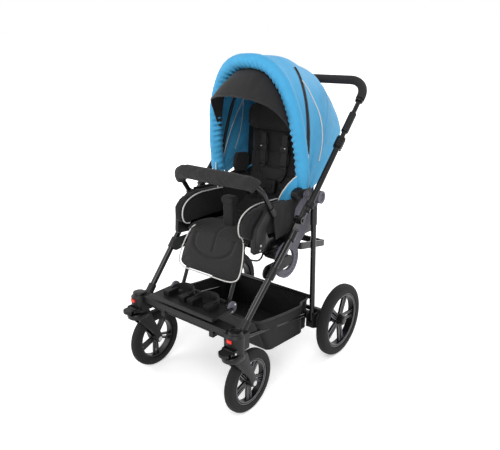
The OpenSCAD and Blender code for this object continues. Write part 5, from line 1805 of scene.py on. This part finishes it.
class BUGGY_OT_seat_shell(bpy.types.Operator):
    """Box-section side plates of the seat, the tilt mechanism below it, its wire handle and bolts"""

    bl_idname = "buggy.seat_shell"
    bl_label = "Seat shell"

    plate_corners = ((-0.196, 0.527), (-0.150, 0.520), (-0.128, 0.548), (-0.132, 0.600), (-0.100, 0.648),
                     (-0.103, 0.676), (-0.126, 0.668), (-0.190, 0.611))
    plate_radii = (0.008, 0.010, 0.012, 0.02, 0.012, 0.006, 0.010, 0.010)
    plate_x = 0.170
    panel_x = 0.1868
    tilt_corners = ((-0.118, 0.514), (0.034, 0.514), (0.030, 0.470), (-0.010, 0.440), (-0.060, 0.462))
    tilt_radii = (0.008, 0.010, 0.012, 0.014, 0.016)
    tilt_x = 0.136
    wire = ((0.100, -0.150, 0.510), (0.106, -0.146, 0.486), (0.114, -0.128, 0.470), (0.122, -0.096, 0.458),
            (0.124, -0.076, 0.462), (0.122, -0.062, 0.476), (0.122, -0.056, 0.500))

    def side_place(self, x):
        """Place on the buggy's side: X to the back, Y up and Z out"""
        return basis((x, 0, 0), Y, Z)

    def execute(self, context):
        outline = round_corners(self.plate_corners, self.plate_radii, steps=4)
        place = self.side_place(self.plate_x)
        cover = prism("seat_plate_left", outline, depth=0.017, place=place, bevel=0.0022)
        both_sides(cover, "seat", "black_plastic", moulded_polypropylene)
        small = [(y * 0.86 - 0.020, z * 0.86 + 0.084) for y, z in self.plate_corners]
        inset = round_corners(small, self.plate_radii, steps=4)
        place = self.side_place(self.panel_x)
        panel = prism("seat_plate_panel_left", inset, depth=0.0015, place=place, bevel=0.0005, segments=1)
        both_sides(panel, "seat", "black_plastic", satin_black_nylon)
        box = round_corners(self.tilt_corners, self.tilt_radii, steps=4)
        tilt = prism("tilt_block_left", box, depth=0.036, place=self.side_place(self.tilt_x), bevel=0.003)
        both_sides(tilt, "seat", "black_plastic", satin_black_nylon)
        places = [Matrix.Translation((0.1735, -0.040, 0.506 - 0.012 * i)) for i in range(2)]
        ribs = [block("rib", (0.004, 0.150, 0.006), place, bevel=0.001) for place in places]
        both_sides(join("tilt_ribs_left", ribs), "seat", "black_plastic", moulded_polypropylene)
        loop = tube("tilt_wire", self.rounded(self.wire), radius=0.0034, sides=10)
        finish(loop, "seat", "black_tube", powder_coated_tube)
        self.bolts()
        return {"FINISHED"}

    def rounded(self, points):
        """Smooth path through points"""
        spots = [Vector(p) for p in points]
        path = []
        for i in range(len(spots) - 1):
            before = spots[max(0, i - 1)]
            after = spots[min(len(spots) - 1, i + 2)]
            for k in range(6):
                t = k / 6
                m0 = (spots[i + 1] - before) / 2
                m1 = (after - spots[i]) / 2
                path.append((2 * t ** 3 - 3 * t ** 2 + 1) * spots[i] + (t ** 3 - 2 * t ** 2 + t) * m0
                            + (3 * t ** 2 - 2 * t ** 3) * spots[i + 1] + (t ** 3 - t ** 2) * m1)
        return path + [spots[-1]]

    def bolts(self):
        """Bright bolt heads of the tilt pivot, the plates and the quadrant"""
        tilt = pivot("seat_tilt")
        hinge = pivot("legrest_angle")
        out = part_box("tilt_quadrant_left")[1].x
        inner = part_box("tilt_quadrant_left")[0].x + 0.012
        heads = (("tilt_bolt_left", Vector((inner - 0.010, tilt.y, tilt.z)), 0.011, 0.014),
                 ("plate_bolt_left", Vector((self.panel_x, hinge.y - 0.012, hinge.z)), 0.005, 0.003),
                 ("plate_bolt_low_left", Vector((self.panel_x, hinge.y - 0.016, hinge.z - 0.016)),
                  0.004, 0.003))
        for name, spot, radius, long in heads:
            bolt = head(name, radius, long, along(spot, spot + X * long), radius * 0.16, sides=6)
            both_sides(bolt, "seat", "axle_steel", zinc_plated_steel)
        hub = pivot("canopy_fold")
        spot = along((out - 0.001, hub.y, hub.z), (out + 0.003, hub.y, hub.z))
        cap = head("quadrant_cap_left", radius=0.010, length=0.004, place=spot, bevel=0.0014)
        both_sides(cap, "seat", "grey_plastic", glass_filled_nylon)


class BUGGY_OT_platform(bpy.types.Operator):
    """Heel straps, front lip and hinge discs of the foot platform"""

    bl_idname = "buggy.platform"
    bl_label = "Platform"

    rim_height = 0.020
    heel_x = 0.058
    heel_half = 0.044
    heel_deep = 0.038
    heel_back = 0.008
    strap_from = 0.004
    strap_width = 0.019
    strap_arch = 0.006

    def execute(self, context):
        low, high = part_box("foot_platform")
        top = high.z - self.rim_height
        mid_y = (low.y + high.y) / 2

        def strap(u, v):
            a = math.radians(span(-20, 200, u))
            rise = self.strap_from + self.strap_width * v + self.strap_arch * math.sin(math.pi * u) * v
            rise += 0.001 * ripple(u * 6, v * 3, 41)
            return Vector((self.heel_x + self.heel_half * math.cos(a),
                           mid_y + self.heel_back + self.heel_deep * math.sin(a), top + rise))

        heel = cloth_grid("heel_strap_left", strap, columns=40, rows=8, thick=0.004)
        for part in both_sides(heel, "footplate", "black_cloth", polyester_webbing, angle=SOFT_ANGLE):
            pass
        spot = Matrix.Translation((self.heel_x, mid_y + 0.047, top + 0.016))
        fold = block("strap_fold_left", (0.030, 0.010, 0.020), spot, bevel=0.003)
        both_sides(fold, "footplate", "black_cloth", polyester_webbing)
        edge = Matrix.Translation((0, low.y + 0.003, top + 0.002))
        lip = block("platform_lip", (high.x - low.x, 0.006, 0.007), edge, bevel=0.002)
        finish(lip, "footplate", "black_plastic", moulded_polypropylene)
        spot = Vector((0.132, high.y - 0.020, top - 0.004))
        disc = head("platform_disc_left", radius=0.021, length=0.010, place=along(spot, spot + X * 0.010),
                    bevel=0.002)
        both_sides(disc, "footplate", "grey_plastic", glass_filled_nylon)
        for i, (dy, dz) in enumerate(((0.008, 0.010), (-0.007, -0.011))):
            place = spot + Vector((0.009, dy, dz))
            bolt = head("platform_bolt_%d_left" % i, radius=0.0042, length=0.005,
                        place=along(place, place + X * 0.005), bevel=0.0008, sides=6)
            both_sides(bolt, "footplate", "axle_steel", zinc_plated_steel)
        return {"FINISHED"}


class BUGGY_PT_panel(bpy.types.Panel):
    """Sidebar panel with the sizes, the colours and one button for each piece"""

    bl_idname = "BUGGY_PT_panel"
    bl_label = "Special needs buggy"
    bl_space_type = "VIEW_3D"
    bl_region_type = "UI"
    bl_category = "Buggy"

    def draw(self, context):
        for group in (context.scene.buggy_sizes, context.scene.buggy_colours):
            box = self.layout.box()
            for name in group.__annotations__:
                box.prop(group, name)
        for operator in OPERATORS:
            self.layout.operator(operator.bl_idname)


OPERATORS = (BUGGY_OT_stage, BUGGY_OT_finishes, BUGGY_OT_seat_pads, BUGGY_OT_calf_pad, BUGGY_OT_back_pads,
             BUGGY_OT_hood, BUGGY_OT_canopy_roll, BUGGY_OT_visor, BUGGY_OT_basket, BUGGY_OT_bar_cover,
             BUGGY_OT_side_cloth, BUGGY_OT_harness, BUGGY_OT_wheels, BUGGY_OT_casters, BUGGY_OT_handle,
             BUGGY_OT_seat_shell, BUGGY_OT_platform)
CLASSES = (BuggyColours, BuggySizes, *OPERATORS, BUGGY_PT_panel)


def register():
    for cls in CLASSES:
        bpy.utils.register_class(cls)
    bpy.types.Scene.buggy_colours = PointerProperty(type=BuggyColours)
    bpy.types.Scene.buggy_sizes = PointerProperty(type=BuggySizes)


def unregister():
    del bpy.types.Scene.buggy_sizes
    del bpy.types.Scene.buggy_colours
    for cls in reversed(CLASSES):
        bpy.utils.unregister_class(cls)


def main():
    register()
    for operator in OPERATORS:
        group, call = operator.bl_idname.split(".")
        getattr(getattr(bpy.ops, group), call)()


if __name__ == "__main__":
    main()
